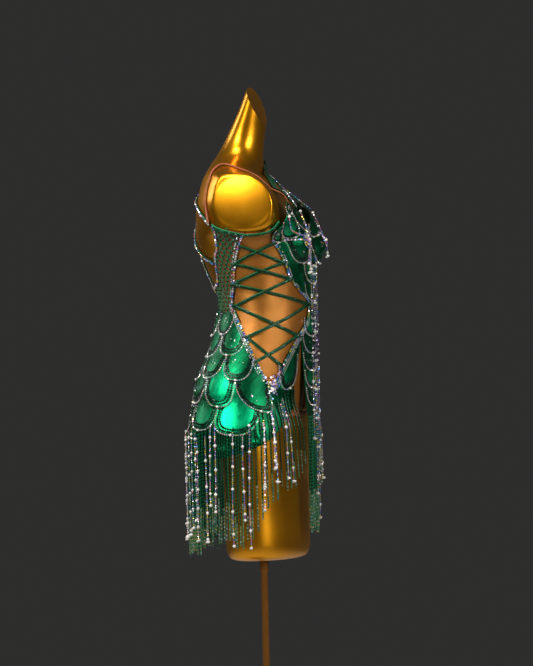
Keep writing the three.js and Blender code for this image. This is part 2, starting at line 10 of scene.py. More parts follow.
import logging
import math
from dataclasses import dataclass, field
from enum import Enum
from typing import Callable, Sequence

import bpy
import numpy as np
from mathutils import Matrix, Vector

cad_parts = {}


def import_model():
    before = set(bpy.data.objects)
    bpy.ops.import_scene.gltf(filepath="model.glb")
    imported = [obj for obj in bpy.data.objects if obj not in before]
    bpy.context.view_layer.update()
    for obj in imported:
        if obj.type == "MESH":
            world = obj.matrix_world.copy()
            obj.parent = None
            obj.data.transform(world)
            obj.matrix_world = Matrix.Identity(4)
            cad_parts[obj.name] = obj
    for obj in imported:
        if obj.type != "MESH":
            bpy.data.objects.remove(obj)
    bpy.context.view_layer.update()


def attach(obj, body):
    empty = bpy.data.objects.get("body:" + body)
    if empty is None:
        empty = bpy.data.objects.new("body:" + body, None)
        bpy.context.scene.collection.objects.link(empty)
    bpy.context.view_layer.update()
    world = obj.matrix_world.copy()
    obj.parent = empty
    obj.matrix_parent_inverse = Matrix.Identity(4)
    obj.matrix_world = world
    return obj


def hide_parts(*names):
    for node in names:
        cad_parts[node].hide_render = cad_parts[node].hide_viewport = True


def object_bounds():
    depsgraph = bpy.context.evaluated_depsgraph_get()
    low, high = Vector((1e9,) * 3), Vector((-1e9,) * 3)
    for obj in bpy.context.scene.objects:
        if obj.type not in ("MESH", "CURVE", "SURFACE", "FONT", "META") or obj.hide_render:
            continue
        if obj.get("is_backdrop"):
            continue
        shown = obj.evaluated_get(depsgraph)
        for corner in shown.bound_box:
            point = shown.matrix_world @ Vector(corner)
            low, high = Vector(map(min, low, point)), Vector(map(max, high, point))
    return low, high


LOG = logging.getLogger("salsa_dress")
Array = np.ndarray
Colour = tuple[float, float, float]
MM = 0.001
BODY = "root"

WALL = 1.2  # cloth
INNER_LAYER = 1.2  # foot of the mesh and net layer above the figure
OUTER_LAYER = 3.8  # foot of the satin above the figure
ON_MESH = INNER_LAYER + WALL + 1.0
HIP_Z = 930.0  # below this the skirt hangs clear of the figure
SKIRT_FLARE = 13.0
FLARE_DROP = 72.0
STRIP_Z = 1040.0  # below this the front strip hangs straight
HIP_MM_PER_DEGREE = 2.39
WAIST_MM_PER_DEGREE = 1.95
CUP_MM_PER_DEGREE = 2.1
STRIP_MM_PER_DEGREE = 1.75
STRIP_FOOT = 890
STRIP_TOP = 1177
CUP_STAND = 11.0  # how far the cups' upper edge stands off the chest
CUP_STAND_FROM = 1222.0
CUP_STAND_TO = 1268.0
LOBE_ACROSS = 0.72  # roundness of a scale's edge, across and down
LOBE_DOWN = 0.85
NET_TOP_ROW = 11
SATIN = 0.9
SPARSE_TO = 78.0  # up to this angle from the front the fringe has every second string


# ---------------------------------------------------------------- tables
def hermite(t: Array, step: Array, ends: tuple[Array, Array], slopes: tuple[Array, Array]) -> Array:
    """A cubic between two values.

    Args:
        t: share of the way from the first to the second.
        step: length of the stretch.
        ends: the two values.
        slopes: the slopes at them.

    Returns:
        The values between.
    """
    t2, t3 = t * t, t * t * t
    return (
        (2 * t3 - 3 * t2 + 1) * ends[0]
        + (t3 - 2 * t2 + t) * step * slopes[0]
        + (3 * t2 - 2 * t3) * ends[1]
        + (t3 - t2) * step * slopes[1]
    )


@dataclass(frozen=True)
class Table:
    """A short table, read smoothly between its rows. The first column is the key."""

    columns: tuple[str, ...]
    rows: tuple[tuple[float, ...], ...]

    def at(self, column: str, key: Array | float) -> Array:
        """Reads one column without overshoot between rows.

        Args:
            column: name of the column.
            key: keys to read it at, held to the table's ends.

        Returns:
            The column's values there.
        """
        data = np.array(self.rows, float)
        keys, values = data[:, 0], data[:, self.columns.index(column)]
        key = np.clip(np.asarray(key, float), keys[0], keys[-1])
        slope = np.diff(values) / np.diff(keys)
        tangent = np.zeros_like(values)
        both = slope[:-1] * slope[1:]
        mean = slope[:-1] + slope[1:]
        tangent[1:-1] = np.where(both > 0, 2 * both / np.where(mean == 0, 1, mean), 0)
        tangent[0], tangent[-1] = slope[0], slope[-1]
        i = np.clip(np.searchsorted(keys, key) - 1, 0, len(keys) - 2)
        h = keys[i + 1] - keys[i]
        t = (key - keys[i]) / h
        return hermite(t, h, (values[i], values[i + 1]), (tangent[i], tangent[i + 1]))

    def column(self, name: str) -> Array:
        """The bare values of one column."""
        return np.array([row[self.columns.index(name)] for row in self.rows], float)


SECTIONS = Table(
    ("z", "half", "front", "back", "square", "turn"),
    (
        (620, 112, -62, 44, 2.2, 0),
        (623, 124, -71, 53, 2.2, 0),
        (630, 133, -77, 58, 2.2, 0),
        (645, 138, -80, 61, 2.2, 0),
        (715, 142, -79, 61, 2.2, 0),
        (812, 152, -80, 68, 2.25, 0),
        (860, 161, -80, 92, 2.25, 0),
        (890, 165, -80, 106, 2.2, 0),
        (930, 167, -85, 112, 2.15, 0),
        (987, 155, -93, 96, 2.1, 0),
        (1021, 140, -97, 82, 2.05, 0),
        (1060, 124, -100, 74, 2, 0),
        (1091, 117, -102, 68, 2, 0),
        (1120, 118, -103, 70, 2, 0),
        (1158, 126, -104, 86, 2.05, 2),
        (1182, 132, -101, 95, 2.1, 5),
        (1205, 140, -96, 106, 2.2, 12),
        (1224, 151, -88, 109, 2.4, 24),
        (1236, 166, -82, 108.5, 2.6, 34),
        (1248, 177, -77, 108, 2.8, 40),
        (1270, 187, -68, 107, 3, 44),
        (1295, 196, -58, 104, 3.1, 46),
        (1320, 199, -40, 98.5, 3, 49),
        (1340, 184, -22, 92, 2.7, 46),
        (1351, 150, -8, 85, 2.4, 30),
        (1361, 118, -7, 80, 2.2, 14),
        (1373, 86, -10, 77, 2.1, 4),
        (1386, 62, -13, 71, 2, 0),
        (1402, 50, -15, 62.5, 2, 0),
        (1420, 45, -18, 53, 2, 0),
        (1440, 44, -21, 42.5, 2, 0),
        (1471, 44, -26, 27, 2, 0),
        (1525, 44, -33, 3, 2, 0),
    ),
)
FRONT_PANEL_EDGE = Table(
    ("z", "angle"),
    (
        (890, 13),
        (920, 15),
        (949, 17),
        (987, 19),
        (1019, 20.4),
        (1030, 22.5),
        (1044, 25),
        (1068, 14.5),
        (1087, 12),
        (1104, 12),
        (1127, 29),
        (1150, 40),
        (1177, 46.5),
    ),
)
CUP_EDGES = Table(
    ("z", "inner", "outer"),
    (
        (1177.6, 0.4, 46.5),
        (1207, 0.4, 54),
        (1228, 0.8, 57.5),
        (1240, 3, 58),
        (1252, 8, 50),
        (1262, 11.5, 43.5),
        (1272, 16, 39),
        (1282, 21, 34.5),
        (1291, 26, 30),
    ),
)
OPENING_FRONT = Table(
    ("z", "angle"),
    (
        (951, 47),
        (981, 42),
        (1015, 35),
        (1044, 25),
        (1068, 14.5),
        (1087, 12),
        (1104, 12),
        (1127, 29),
        (1150, 40),
        (1180, 47),
        (1207, 54),
        (1236, 58),
    ),
)
OPENING_BACK = Table(
    ("z", "angle"),
    (
        (951, 47),
        (962, 55),
        (992, 68),
        (1036, 86),
        (1072, 102),
        (1095, 112),
        (1142, 104),
        (1182, 94),
        (1213, 88),
        (1252, 88),
    ),
)
# How far a nude half runs on under the satin, in degrees past the opening's two edges.
NUDE_SPREAD = Table(
    ("z", "front", "back"),
    (
        (898.3, 46.8, 130),
        (908, 46.8, 127),
        (935, 46.8, 102),
        (962, 44, 74),
        (992, 39.4, 36),
        (1015, 34.6, 24),
        (1036, 24, 12),
        (1056, 9, 6),
        (1068, 4, -0.4),
        (1150, 4, -0.4),
        (1180, 3, -0.4),
        (1235, 3, -0.4),
    ),
)
# A net half, row by row upwards: its height at the laced opening, and its other edge, which runs up
# centre back and then along the open back.
NET_ROWS = Table(
    ("row", "near_z", "far_angle", "far_z"),
    (
        (0, 1084, 179.8, 1084),
        (1, 1096, 179.8, 1107),
        (2, 1107, 179.8, 1127),
        (3, 1113, 166, 1131),
        (4, 1120, 150, 1137),
        (5, 1130, 134, 1144),
        (6, 1144, 127, 1158),
        (7, 1163, 123, 1176),
        (8, 1182, 118, 1194),
        (9, 1200, 112, 1211),
        (10, 1218, 114, 1230),
        (11, 1236, 121, 1249),
    ),
)
SKIRT_EDGES = Table(
    ("angle", "hem", "top"),
    (
        (21, 908, 1018),
        (25, 903, 1043),
        (30, 895, 1030),
        (35, 886, 1015),
        (42, 872, 981),
        (47, 861, 951),
        (55, 847, 962),
        (68, 833, 992),
        (86, 820, 1036),
        (102, 813, 1072),
        (112, 811, 1094),
        (125, 809, 1087),
        (150, 806, 1094),
        (180, 804, 1089),
    ),
)
# Where the bead strings start and end, by angle, and how far each leans to the front as it falls.
FRINGE = Table(
    ("angle", "head", "foot", "lean"),
    (
        (21, 936, 800, 0.17),
        (29, 940, 770, 0.15),
        (40, 918, 752, 0.1),
        (55, 905, 740, 0.04),
        (64, 896, 702, 0.0),
        (76, 868, 648, 0.0),
        (88, 858, 660, 0.0),
        (103, 876, 668, 0.0),
        (120, 868, 645, 0.0),
        (150, 864, 642, 0.0),
        (180, 864, 642, 0.0),
    ),
)
UNDERARM_BAND = Table(
    ("angle", "z", "lift"),
    (
        (49, 1255, 5.4),
        (58, 1246, 5.4),
        (64, 1240, 5.4),
        (70, 1236, 3.4),
        (80, 1234, 3.4),
        (89, 1234, 3.4),
        (97, 1238, 3.4),
        (107, 1242, 3.4),
        (116, 1247, 3.4),
        (121, 1251, 3.4),
    ),
)
LACE_BACK = ((87.5, 1213), (96.5, 1179), (105.5, 1141), (108.5, 1099), (87, 1039), (70.5, 993))
LACE_FRONT = ((55.5, 1217), (47.5, 1179), (38.5, 1148), (13, 1100), (27, 1041), (43.5, 988))


class Face(Enum):
    """The side of the figure that a strap's station lies on."""

    FRONT = "front"
    BACK = "back"
    RIDGE = "ridge"


F, B, R = Face.FRONT, Face.BACK, Face.RIDGE
# Straps station by station: side, distance across to the wearer's left, height, lift and width.
STRAP_ROUTES: dict[str, tuple[tuple[Face, float, float, float, float], ...]] = {
    "front_strap_wide": (
        (F, -86, 1283, 18.2, 40),
        (F, -62, 1297, 13.6, 30),
        (F, -36, 1311, 5, 24),
        (F, -10, 1327, 2.5, 19),
        (F, 14, 1341, 3, 16),
        (F, 36, 1353, 4, 14),
        (F, 54, 1364, 3.5, 13),
        (F, 64, 1373, 3.5, 12),
        (R, 1, 1380, 3, 11),
        (B, 66, 1371, 3, 11),
        (B, 66, 1358, 3, 11),
    ),
    "front_strap_narrow": (
        (F, 62, 1270, 20, 12),
        (F, 68, 1285, 14, 11),
        (F, 73, 1302, 8, 10),
        (F, 78, 1321, 3, 9),
        (F, 83, 1340, 2.5, 9),
        (F, 88, 1353, 2.5, 9),
        (F, 91, 1361, 3, 8),
        (R, 1, 1369, 3, 8),
        (B, 91, 1361, 3, 8),
        (B, 88, 1350, 3, 8),
    ),
    "back_strap_upper": (
        (B, -157, 1255, 2.5, 8),
        (B, -151, 1261, 2, 8),
        (B, -136, 1273, 2, 8),
        (B, -118, 1284, 2, 8),
        (B, -87, 1295, 2, 8),
        (B, -45, 1307, 2, 8),
        (B, 0, 1319, 2, 8),
        (B, 45, 1331, 2, 8),
        (B, 84, 1344, 2, 8),
    ),
    "back_strap_middle": (
        (B, -110, 1183, 3.2, 8),
        (B, -96, 1190, 2.2, 8),
        (B, -87, 1201, 2, 8),
        (B, -74, 1214, 2, 8),
        (B, -42, 1241, 2, 8),
        (B, -4, 1272, 2, 8),
        (B, 38, 1303, 2, 8),
        (B, 76, 1331, 2, 8),
    ),
    "back_strap_lower": (
        (B, -50, 1130, 3.2, 8),
        (B, -44, 1140, 2.8, 8),
        (B, -36, 1154, 2, 8),
        (B, -12, 1198, 2, 8),
        (B, 18, 1244, 2, 8),
        (B, 50, 1286, 2, 8),
        (B, 80, 1317, 2, 8),
    ),
    "nude_shoulder_strap": (
        (F, -119, 1284, 18, 6),
        (F, -121, 1294, 17.5, 6),
        (F, -124, 1304, 12, 6),
        (F, -130, 1314, 4, 6),
        (F, -131, 1324, 2, 6),
        (F, -125, 1340, 2, 6),
        (F, -111, 1353, 2.5, 6),
        (R, -1, 1364, 3, 6),
        (B, -134, 1353, 2.5, 6),
        (B, -146, 1338, 2, 6),
        (B, -147, 1319, 2, 6),
        (B, -151, 1299, 2, 6),
        (B, -156, 1276, 2.2, 6),
        (B, -158, 1264, 4.6, 6),
        (B, -158, 1256, 5, 6),
    ),
}


# ---------------------------------------------------------------- the figure's surface
def smoothstep(value: Array | float, low: float, high: float) -> Array:
    """Rises smoothly from 0 at low to 1 at high."""
    t = np.clip((np.asarray(value, float) - low) / (high - low), 0, 1)
    return t * t * (3 - 2 * t)


def unit(vectors: Array) -> Array:
    """The vectors at length 1."""
    return vectors / np.maximum(np.linalg.norm(vectors, axis=-1, keepdims=True), 1e-9)


@dataclass(frozen=True)
class Bust:
    """The figure's plain rounded bust."""

    across: float = 72.0
    z: float = 1216.0
    depth: float = 28.0
    reach: float = 40.0
    above: float = 52.0
    below: float = 31.0


@dataclass(frozen=True)
class Figure:
    """The dress form's surface as a function of angle and height."""

    sections: Table = SECTIONS
    bust: Bust = Bust()
    arm_plane: float = 172.0  # half the width across the flat arm caps

    def point(self, angle: Array, z: Array, rim: float = 0.0) -> Array:
        """Points on the surface.

        Args:
            angle: degrees round the figure.
            z: heights, of the same shape.
            rim: how softly the flat arm caps meet the shoulders.

        Returns:
            Points, one more dimension than the angles.
        """
        angle, z = np.broadcast_arrays(np.asarray(angle, float), np.asarray(z, float))
        half, front, back, square, turn = (
            self.sections.at(name, z) for name in self.sections.columns[1:]
        )
        s, c = np.sin(np.radians(angle)), np.cos(np.radians(angle))
        wide = half * np.abs(s) ** (2 / square)
        deep = np.sign(c) * np.abs(c) ** (2 / square)
        bust = self.bust
        across = (wide - bust.across) / bust.reach
        up = (z - bust.z) / np.where(z > bust.z, bust.above, bust.below)
        swell = bust.depth * np.exp(-(across**2)) * np.exp(-(up**2)) * smoothstep(c, 0, 0.4)
        y = (front + back) / 2 - (back - front) / 2 * deep - swell
        flat = np.minimum(wide, self.arm_plane)
        if rim:
            flat = self.arm_plane - rim * np.logaddexp(0, (self.arm_plane - wide) / rim)
            flat = np.maximum(flat, 0) * np.where(wide < 1, wide, 1)
        x = -np.sign(s) * flat
        y = y + turn * np.sign(x) * (x / self.arm_plane) ** 2
        return np.stack([x, y, z], -1)

    def normal(self, angle: Array, z: Array) -> Array:
        """Outward unit normals of the surface.

        Args:
            angle: degrees round the figure.
            z: heights.

        Returns:
            One normal for each angle.
        """
        angle, z = np.broadcast_arrays(np.asarray(angle, float), np.asarray(z, float))
        around = self.point(angle + 0.5, z) - self.point(angle - 0.5, z)
        up = self.point(angle, z + 1) - self.point(angle, z - 1)
        normal = unit(np.cross(up, around))
        out = self.point(angle, z) - self.point(angle + 180, z)
        return normal * np.where((normal * out).sum(-1, keepdims=True) < 0, -1, 1)

    def cloth(self, angle: Array, z: Array, lift: Array | float) -> Array:
        """Points that stand off the surface by a lift."""
        lift = np.asarray(lift, float)[..., None]
        return self.point(angle, z) + self.normal(angle, z) * lift

    def hanging(self, angle: Array, z: Array, lift: Array | float, held: float) -> Array:
        """Points of cloth that hangs straight down below the height it is held at.

        Args:
            angle: degrees round the figure.
            z: heights.
            lift: distance from the figure.
            held: height that the cloth hangs from.

        Returns:
            The points.
        """
        z = np.asarray(z, float)
        points = self.cloth(angle, np.maximum(z, held), lift)
        points[..., 2] = np.minimum(points[..., 2], z)
        return points

    def skirt(self, angle: Array, z: Array, lift: Array | float) -> Array:
        """Points of the skirt, which flares below the hip."""
        flare = SKIRT_FLARE * smoothstep(HIP_Z - np.asarray(z, float), 0, FLARE_DROP)
        return self.hanging(angle, z, np.asarray(lift, float) + flare, HIP_Z)

    def strip(self, angle: Array, z: Array, lift: Array | float) -> Array:
        """Points of the front panel, whose lower part is a free strip."""
        return self.hanging(angle, z, lift, STRIP_Z)

    def guide(self, angle: Array, z: Array, lift: Array | float, count: int) -> tuple[Array, Array]:
        """A smooth line over the surface.

        Args:
            angle: degrees round the figure at the line's stations.
            z: heights there.
            lift: distance from the surface there.
            count: how many points to return.

        Returns:
            The line's points, and the surface's normals at them.
        """
        found = spline(np.concatenate([self.cloth(angle, z, lift), self.normal(angle, z)], 1), count)
        return found[:, :3], unit(found[:, 3:])

    def cup(self, angle: Array, z: Array, lift: Array | float) -> Array:
        """Points of a cup, whose upper part stands off the chest."""
        stand = CUP_STAND * smoothstep(z, CUP_STAND_FROM, CUP_STAND_TO)
        return self.cloth(angle, z, np.asarray(lift, float) + stand)

    def angle_across(self, face: Face, across: float, z: float) -> float:
        """The angle of the point that lies a distance across on the front or the back.

        Args:
            face: the side it lies on.
            across: distance to the wearer's left.
            z: heights.

        Returns:
            Degrees round the figure.
        """
        if face is Face.RIDGE:
            return math.copysign(90.0, -across)
        half, square = (float(self.sections.at(name, z)) for name in ("half", "square"))
        share = min(abs(across) / half, 1) ** (square / 2)
        angle = -math.copysign(math.degrees(math.asin(share)), across)
        return angle if face is Face.FRONT else 180 - angle


FIGURE = Figure()
Surface = Callable[[Array, Array, "Array | float"], Array]


# ---------------------------------------------------------------- meshes
def write_mesh(
    name: str,
    points: Array,
    faces: Sequence[Array],
    look: bpy.types.Material,
    smooth: bool = True,
    uv: Array | None = None,
    tint: Array | None = None,
) -> bpy.types.Object:
    """Makes an object from arrays.

    Args:
        name: the piece's name.
        points: corners in millimetres.
        faces: arrays of corner numbers, one array for each number of sides.
        look: the material.
        smooth: whether the faces are shaded smoothly.
        uv: flat cloth places in metres, one for each point.
        tint: colours, one for each point.

    Returns:
        The linked object.
    """
    mesh = bpy.data.meshes.new(name)
    mesh.vertices.add(len(points))
    mesh.vertices.foreach_set("co", (np.asarray(points) * MM).astype(np.float32).ravel())
    corners = np.concatenate([part.ravel() for part in faces]).astype(np.int32)
    sizes = np.concatenate([np.full(len(part), part.shape[1]) for part in faces])
    mesh.loops.add(len(corners))
    mesh.loops.foreach_set("vertex_index", corners)
    mesh.polygons.add(len(sizes))
    starts = np.concatenate([[0], np.cumsum(sizes)[:-1]]).astype(np.int32)
    mesh.polygons.foreach_set("loop_start", starts)
    mesh.polygons.foreach_set("use_smooth", np.full(len(sizes), smooth))
    mesh.update(calc_edges=True)
    if uv is not None:
        layer = mesh.uv_layers.new(name="cloth")
        layer.data.foreach_set("uv", uv[corners].astype(np.float32).ravel())
    if tint is not None:
        colours = mesh.color_attributes.new(name="tint", type="FLOAT_COLOR", domain="POINT")
        full = np.concatenate([tint, np.ones((len(tint), 1))], axis=1)
        colours.data.foreach_set("color", full.astype(np.float32).ravel())
    mesh.materials.append(look)
    piece = bpy.data.objects.new(name, mesh)
    bpy.context.scene.collection.objects.link(piece)
    return piece


def grid_faces(rows: int, columns: int, ring: bool = False) -> Array:
    """Quads of a grid of points, row by row; with ring the last column meets the first.

    Args:
        rows: rows of points.
        columns: points in a row.
        ring: whether the last column meets the first.

    Returns:
        Corner numbers, four to a row.
    """
    j, i = np.meshgrid(np.arange(rows - 1), np.arange(columns if ring else columns - 1), indexing="ij")
    here, beside = j * columns + i, j * columns + (i + 1) % columns
    return np.stack([here, beside, beside + columns, here + columns], -1).reshape(-1, 4)


def cloth_sheet(
    name: str,
    grid: Array,
    look: bpy.types.Material,
    thickness: float,
    tint: Array | None = None,
    ring: bool = False,
) -> bpy.types.Object:
    """Makes a thin shell from a grid of points on its inner face.

    Args:
        name: the piece's name.
        grid: points, rows by columns by 3.
        look: the material.
        thickness: the cloth's thickness, added outwards.
        tint: colours, rows by columns by 3.
        ring: whether the last column meets the first.

    Returns:
        The object, with a Solidify modifier.
    """
    rows, columns = grid.shape[:2]
    along = np.linalg.norm(np.diff(grid, axis=1, prepend=grid[:, :1]), axis=-1).cumsum(1)
    up = np.linalg.norm(np.diff(grid, axis=0, prepend=grid[:1]), axis=-1).cumsum(0)
    uv = np.stack([along, up], -1).reshape(-1, 2) * MM
    faces = grid_faces(rows, columns, ring)
    points = grid.reshape(-1, 3)
    a, b, d = (points[faces[:, k]] for k in (0, 1, 3))
    axis = np.array([0, 5.0, 0])
    out = np.cross(b - a, d - a) * ((a - axis) * [1, 1, 0])
    if out.sum() < 0:
        faces = faces[:, ::-1]
    piece = write_mesh(
        name, points, [faces], look, uv=uv, tint=None if tint is None else tint.reshape(-1, 3)
    )
    shell = piece.modifiers.new("thickness", "SOLIDIFY")
    shell.thickness = thickness * MM
    shell.offset = 1.0
    shell.use_even_offset = True
    return piece


@dataclass(frozen=True)
class Shape:
    """A small shape that is copied many times: its points, and faces by number of sides."""

    points: Array
    faces: tuple[Array, ...]


def turned_shape(profile: Sequence[tuple[float, float]], sides: int) -> Shape:
    """A shape turned about Z.

    Args:
        profile: radius and height of each ring, from the foot up.
        sides: sides of each ring.

    Returns:
        The closed shape.
    """
    turn = 2 * np.pi * np.arange(sides) / sides
    rings = [np.stack([r * np.cos(turn), r * np.sin(turn), 0 * turn + h], -1) for r, h in profile]
    walls = grid_faces(len(profile), sides, ring=True)
    ends = np.array([np.arange(sides)[::-1], np.arange(sides) + (len(profile) - 1) * sides])
    return Shape(np.concatenate(rings), (walls, ends))


CUT_STONE = turned_shape([(1.0, 0.1), (0.58, 0.78)], 6)
ROUND_PEARL = turned_shape(
    [(0.3, -0.95), (0.78, -0.62), (1.0, 0.0), (0.78, 0.62), (0.3, 0.95)], 9
)
CUT_DROP = turned_shape([(0.25, 1.6), (0.55, 1.0), (1.0, -0.3), (0.7, -1.2), (0.15, -1.6)][::-1], 7)


@dataclass
class Heap:
    """Many small shapes that are joined into one mesh."""

    rng: np.random.Generator
    points: list[Array] = field(default_factory=list)
    faces: dict[int, list[Array]] = field(default_factory=dict)
    tints: list[Array] = field(default_factory=list)
    count: int = 0

    def add(self, points: Array, faces: Sequence[Array], tint: Array | None = None) -> None:
        """Adds one shape.

        Args:
            points: its points.
            faces: its faces, by number of sides.
            tint: its colours, if its finish reads them.
        """
        for part in faces:
            self.faces.setdefault(part.shape[-1], []).append(part + self.count)
        self.points.append(points)
        if tint is not None:
            self.tints.append(np.broadcast_to(tint, points.shape))
        self.count += len(points)

    def scatter(
        self, shape: Shape, places: Array, normals: Array, sizes: Array | float, glass: Glass | Array
    ) -> None:
        """Sets copies of a shape on a surface, each turned at random.

        Args:
            shape: the shape to copy.
            places: where each copy stands.
            normals: the way each copy faces.
            sizes: radius of each copy.
            glass: the mix that their colours are drawn from, or the colours.
        """
        n, k = len(places), len(shape.points)
        tints = glass.pick(n, self.rng) if isinstance(glass, Glass) else glass
        if n == 0:
            return
        normals = unit(normals + self.rng.normal(0, 0.1, normals.shape))
        side = unit(np.cross(normals, self.rng.normal(size=normals.shape)))
        frames = np.stack([side, np.cross(normals, side), normals], -1)
        frames = frames * np.broadcast_to(np.asarray(sizes, float), (n,))[:, None, None]
        points = places[:, None, :] + np.einsum("nij,kj->nki", frames, shape.points)
        base = np.arange(n)[:, None, None] * k
        faces = [(base + part[None]).reshape(-1, part.shape[1]) for part in shape.faces]
        colours = np.repeat(np.broadcast_to(tints, (n, 3)), k, axis=0)
        self.add(points.reshape(-1, 3), faces, colours)

    def build(self, name: str, look: bpy.types.Material, smooth: bool = False) -> bpy.types.Object:
        """Joins everything into one object.

        Args:
            name: name of the piece.
            look: the material.
            smooth: whether the faces are shaded smoothly.

        Returns:
            The object.
        """
        faces = [np.concatenate(parts) for parts in self.faces.values()]
        return write_mesh(
            name,
            np.concatenate(self.points),
            faces,
            look,
            smooth=smooth,
            tint=np.concatenate(self.tints) if self.tints else None,
        )


def evenly(line: Array, pitch: float, *others: Array) -> tuple[Array, ...]:
    """Points a pitch apart along a line.

    Args:
        line: the line's points.
        pitch: the wanted distance, changed a little to fit the line.
        others: values at the line's points, carried along.

    Returns:
        The new points, then each of the others at them.
    """
    steps = np.linalg.norm(np.diff(line, axis=0), axis=1)
    along = np.concatenate([[0], np.cumsum(steps)])
    count = max(2, round(along[-1] / pitch) + 1)
    at = np.linspace(0, along[-1], count)
    found = []
    for values in (line, *others):
        values = np.asarray(values, float)
        flat = values.reshape(len(values), -1)
        new = np.stack([np.interp(at, along, flat[:, k]) for k in range(flat.shape[1])], -1)
        found.append(new.reshape((count, *values.shape[1:])))
    return tuple(found)


def spline(points: Array, count: int) -> Array:
    """A smooth line through points, with its knots spaced by the root of their distance.

    Args:
        points: the points to pass, as rows of any width; the first three columns are the place.
        count: how many points to return.

    Returns:
        Points along the line.
    """
    gaps = np.maximum(np.sqrt(np.linalg.norm(np.diff(points[:, :3], axis=0), axis=1)), 1e-6)
    knots = np.concatenate([[0], np.cumsum(gaps)])
    slope = np.gradient(points, knots, axis=0)
    at = np.linspace(0, knots[-1], count)
    i = np.clip(np.searchsorted(knots, at) - 1, 0, len(knots) - 2)
    h = (knots[i + 1] - knots[i])[:, None]
    t = ((at - knots[i]) / h[:, 0])[:, None]
    return hermite(t, h, (points[i], points[i + 1]), (slope[i], slope[i + 1]))


# ---------------------------------------------------------------- colours of stones and beads
class Glass(Enum):
    """Mixes of bead and stone colours: each has its shares and colours."""

    CLEAR = ((0.6, (0.7, 0.72, 0.74)), (0.22, (0.5, 0.6, 0.85)), (0.18, (0.85, 0.68, 0.5)))
    RAINBOW = (
        (0.34, (0.74, 0.76, 0.8)),
        (0.18, (0.12, 0.34, 0.9)),
        (0.18, (0.9, 0.66, 0.08)),
        (0.16, (0.9, 0.32, 0.5)),
        (0.14, (0.36, 0.25, 0.82)),
    )
    EDGE = (
        (0.56, (0.88, 0.88, 0.88)),
        (0.16, (0.85, 0.5, 0.56)),
        (0.14, (0.48, 0.52, 0.9)),
        (0.14, (0.84, 0.76, 0.36)),
    )
    DARK = ((0.75, (0.002, 0.014, 0.008)), (0.25, (0.0, 0.05, 0.025)))
    GREEN = ((0.55, (0.0, 0.012, 0.006)), (0.45, (0.0, 0.2, 0.075)))
    SMOKE = (
        (0.36, (0.3, 0.33, 0.16)),
        (0.26, (0.12, 0.26, 0.22)),
        (0.2, (0.5, 0.44, 0.16)),
        (0.18, (0.45, 0.52, 0.56)),
    )
    PLUM = ((0.5, (0.16, 0.025, 0.13)), (0.3, (0.25, 0.16, 0.55)), (0.2, (0.6, 0.56, 0.66)))
    PEARL = ((1.0, (0.82, 0.8, 0.76)),)

    def pick(self, count: int, rng: np.random.Generator) -> Array:
        """Colours for a number of stones, drawn by their shares.

        Args:
            count: how many.
            rng: random draws.

        Returns:
            One colour for each stone.
        """
        shares = np.array([share for share, _ in self.value])
        colours = np.array([colour for _, colour in self.value])
        chosen = rng.choice(len(colours), count, p=shares / shares.sum())
        return colours[chosen] * rng.uniform(0.82, 1.08, (count, 1))


# ---------------------------------------------------------------- shader node groups
class Tree:
    """Adds nodes to a tree, and links them."""

    def __init__(self, tree: bpy.types.NodeTree) -> None:
        """Keeps the tree that the nodes go in."""
        self.tree = tree

    def node(self, kind: str, **values: object) -> bpy.types.Node:
        """Adds a node.

        Args:
            kind: Blender's type name, without ShaderNode.
            values: properties, or inputs by name with spaces as underscores.

        Returns:
            The node.
        """
        prefix = "Node" if kind in ("GroupInput", "GroupOutput") else "ShaderNode"
        made = self.tree.nodes.new(f"{prefix}{kind}")
        for name, value in values.items():
            if hasattr(made, name):
                setattr(made, name, value)
            else:
                made.inputs[name.replace("_", " ")].default_value = value
        return made

    def link(self, source: bpy.types.NodeSocket, target: bpy.types.NodeSocket) -> None:
        """Links two sockets."""
        self.tree.links.new(source, target)

    def math(self, operation: str, a: object, b: object = 0.0) -> bpy.types.NodeSocket:
        """A math node on two sockets or numbers, and its output.

        Args:
            operation: Blender's name for the sum.
            a: first socket or number.
            b: second socket or number.

        Returns:
            The node's output.
        """
        made = self.node("Math", operation=operation)
        for slot, value in zip(made.inputs, (a, b)):
            if isinstance(value, bpy.types.NodeSocket):
                self.link(value, slot)
            else:
                slot.default_value = value
        return made.outputs[0]


def new_group(name: str, inputs: dict[str, tuple[str, object]], outputs: dict[str, str]) -> Tree:
    """An empty shader node group.

    Args:
        name: the group's name.
        inputs: socket type and default value by name.
        outputs: socket type by name.

    Returns:
        The group's tree.
    """
    group = bpy.data.node_groups.new(name, "ShaderNodeTree")
    for label, (kind, value) in inputs.items():
        socket = group.interface.new_socket(label, in_out="INPUT", socket_type=f"NodeSocket{kind}")
        if value is not None:
            socket.default_value = value
    for label, kind in outputs.items():
        group.interface.new_socket(label, in_out="OUTPUT", socket_type=f"NodeSocket{kind}")
    return Tree(group)


def weave_group() -> bpy.types.NodeTree:
    """Crossing threads: a height and a mask of the gaps between them.

    Returns:
        The group.
    """
    made = new_group(
        "crossing_threads",
        {"Vector": ("Vector", None), "Threads": ("Float", 2500.0)},
        {"Height": "Float", "Gap": "Float"},
    )
    entry, leave = made.node("GroupInput"), made.node("GroupOutput")
    split = made.node("SeparateXYZ")
    made.link(entry.outputs["Vector"], split.inputs[0])
    waves = []
    for axis in ("X", "Y"):
        turn = made.math("MULTIPLY", split.outputs[axis], entry.outputs["Threads"])
        waves.append(made.math("ABSOLUTE", made.math("SINE", turn)))
    height = made.math("MULTIPLY", waves[0], waves[1])
    gap = made.math("SUBTRACT", 1.0, made.math("MAXIMUM", waves[0], waves[1]))
    made.link(height, leave.inputs["Height"])
    made.link(gap, leave.inputs["Gap"])
    return made.tree


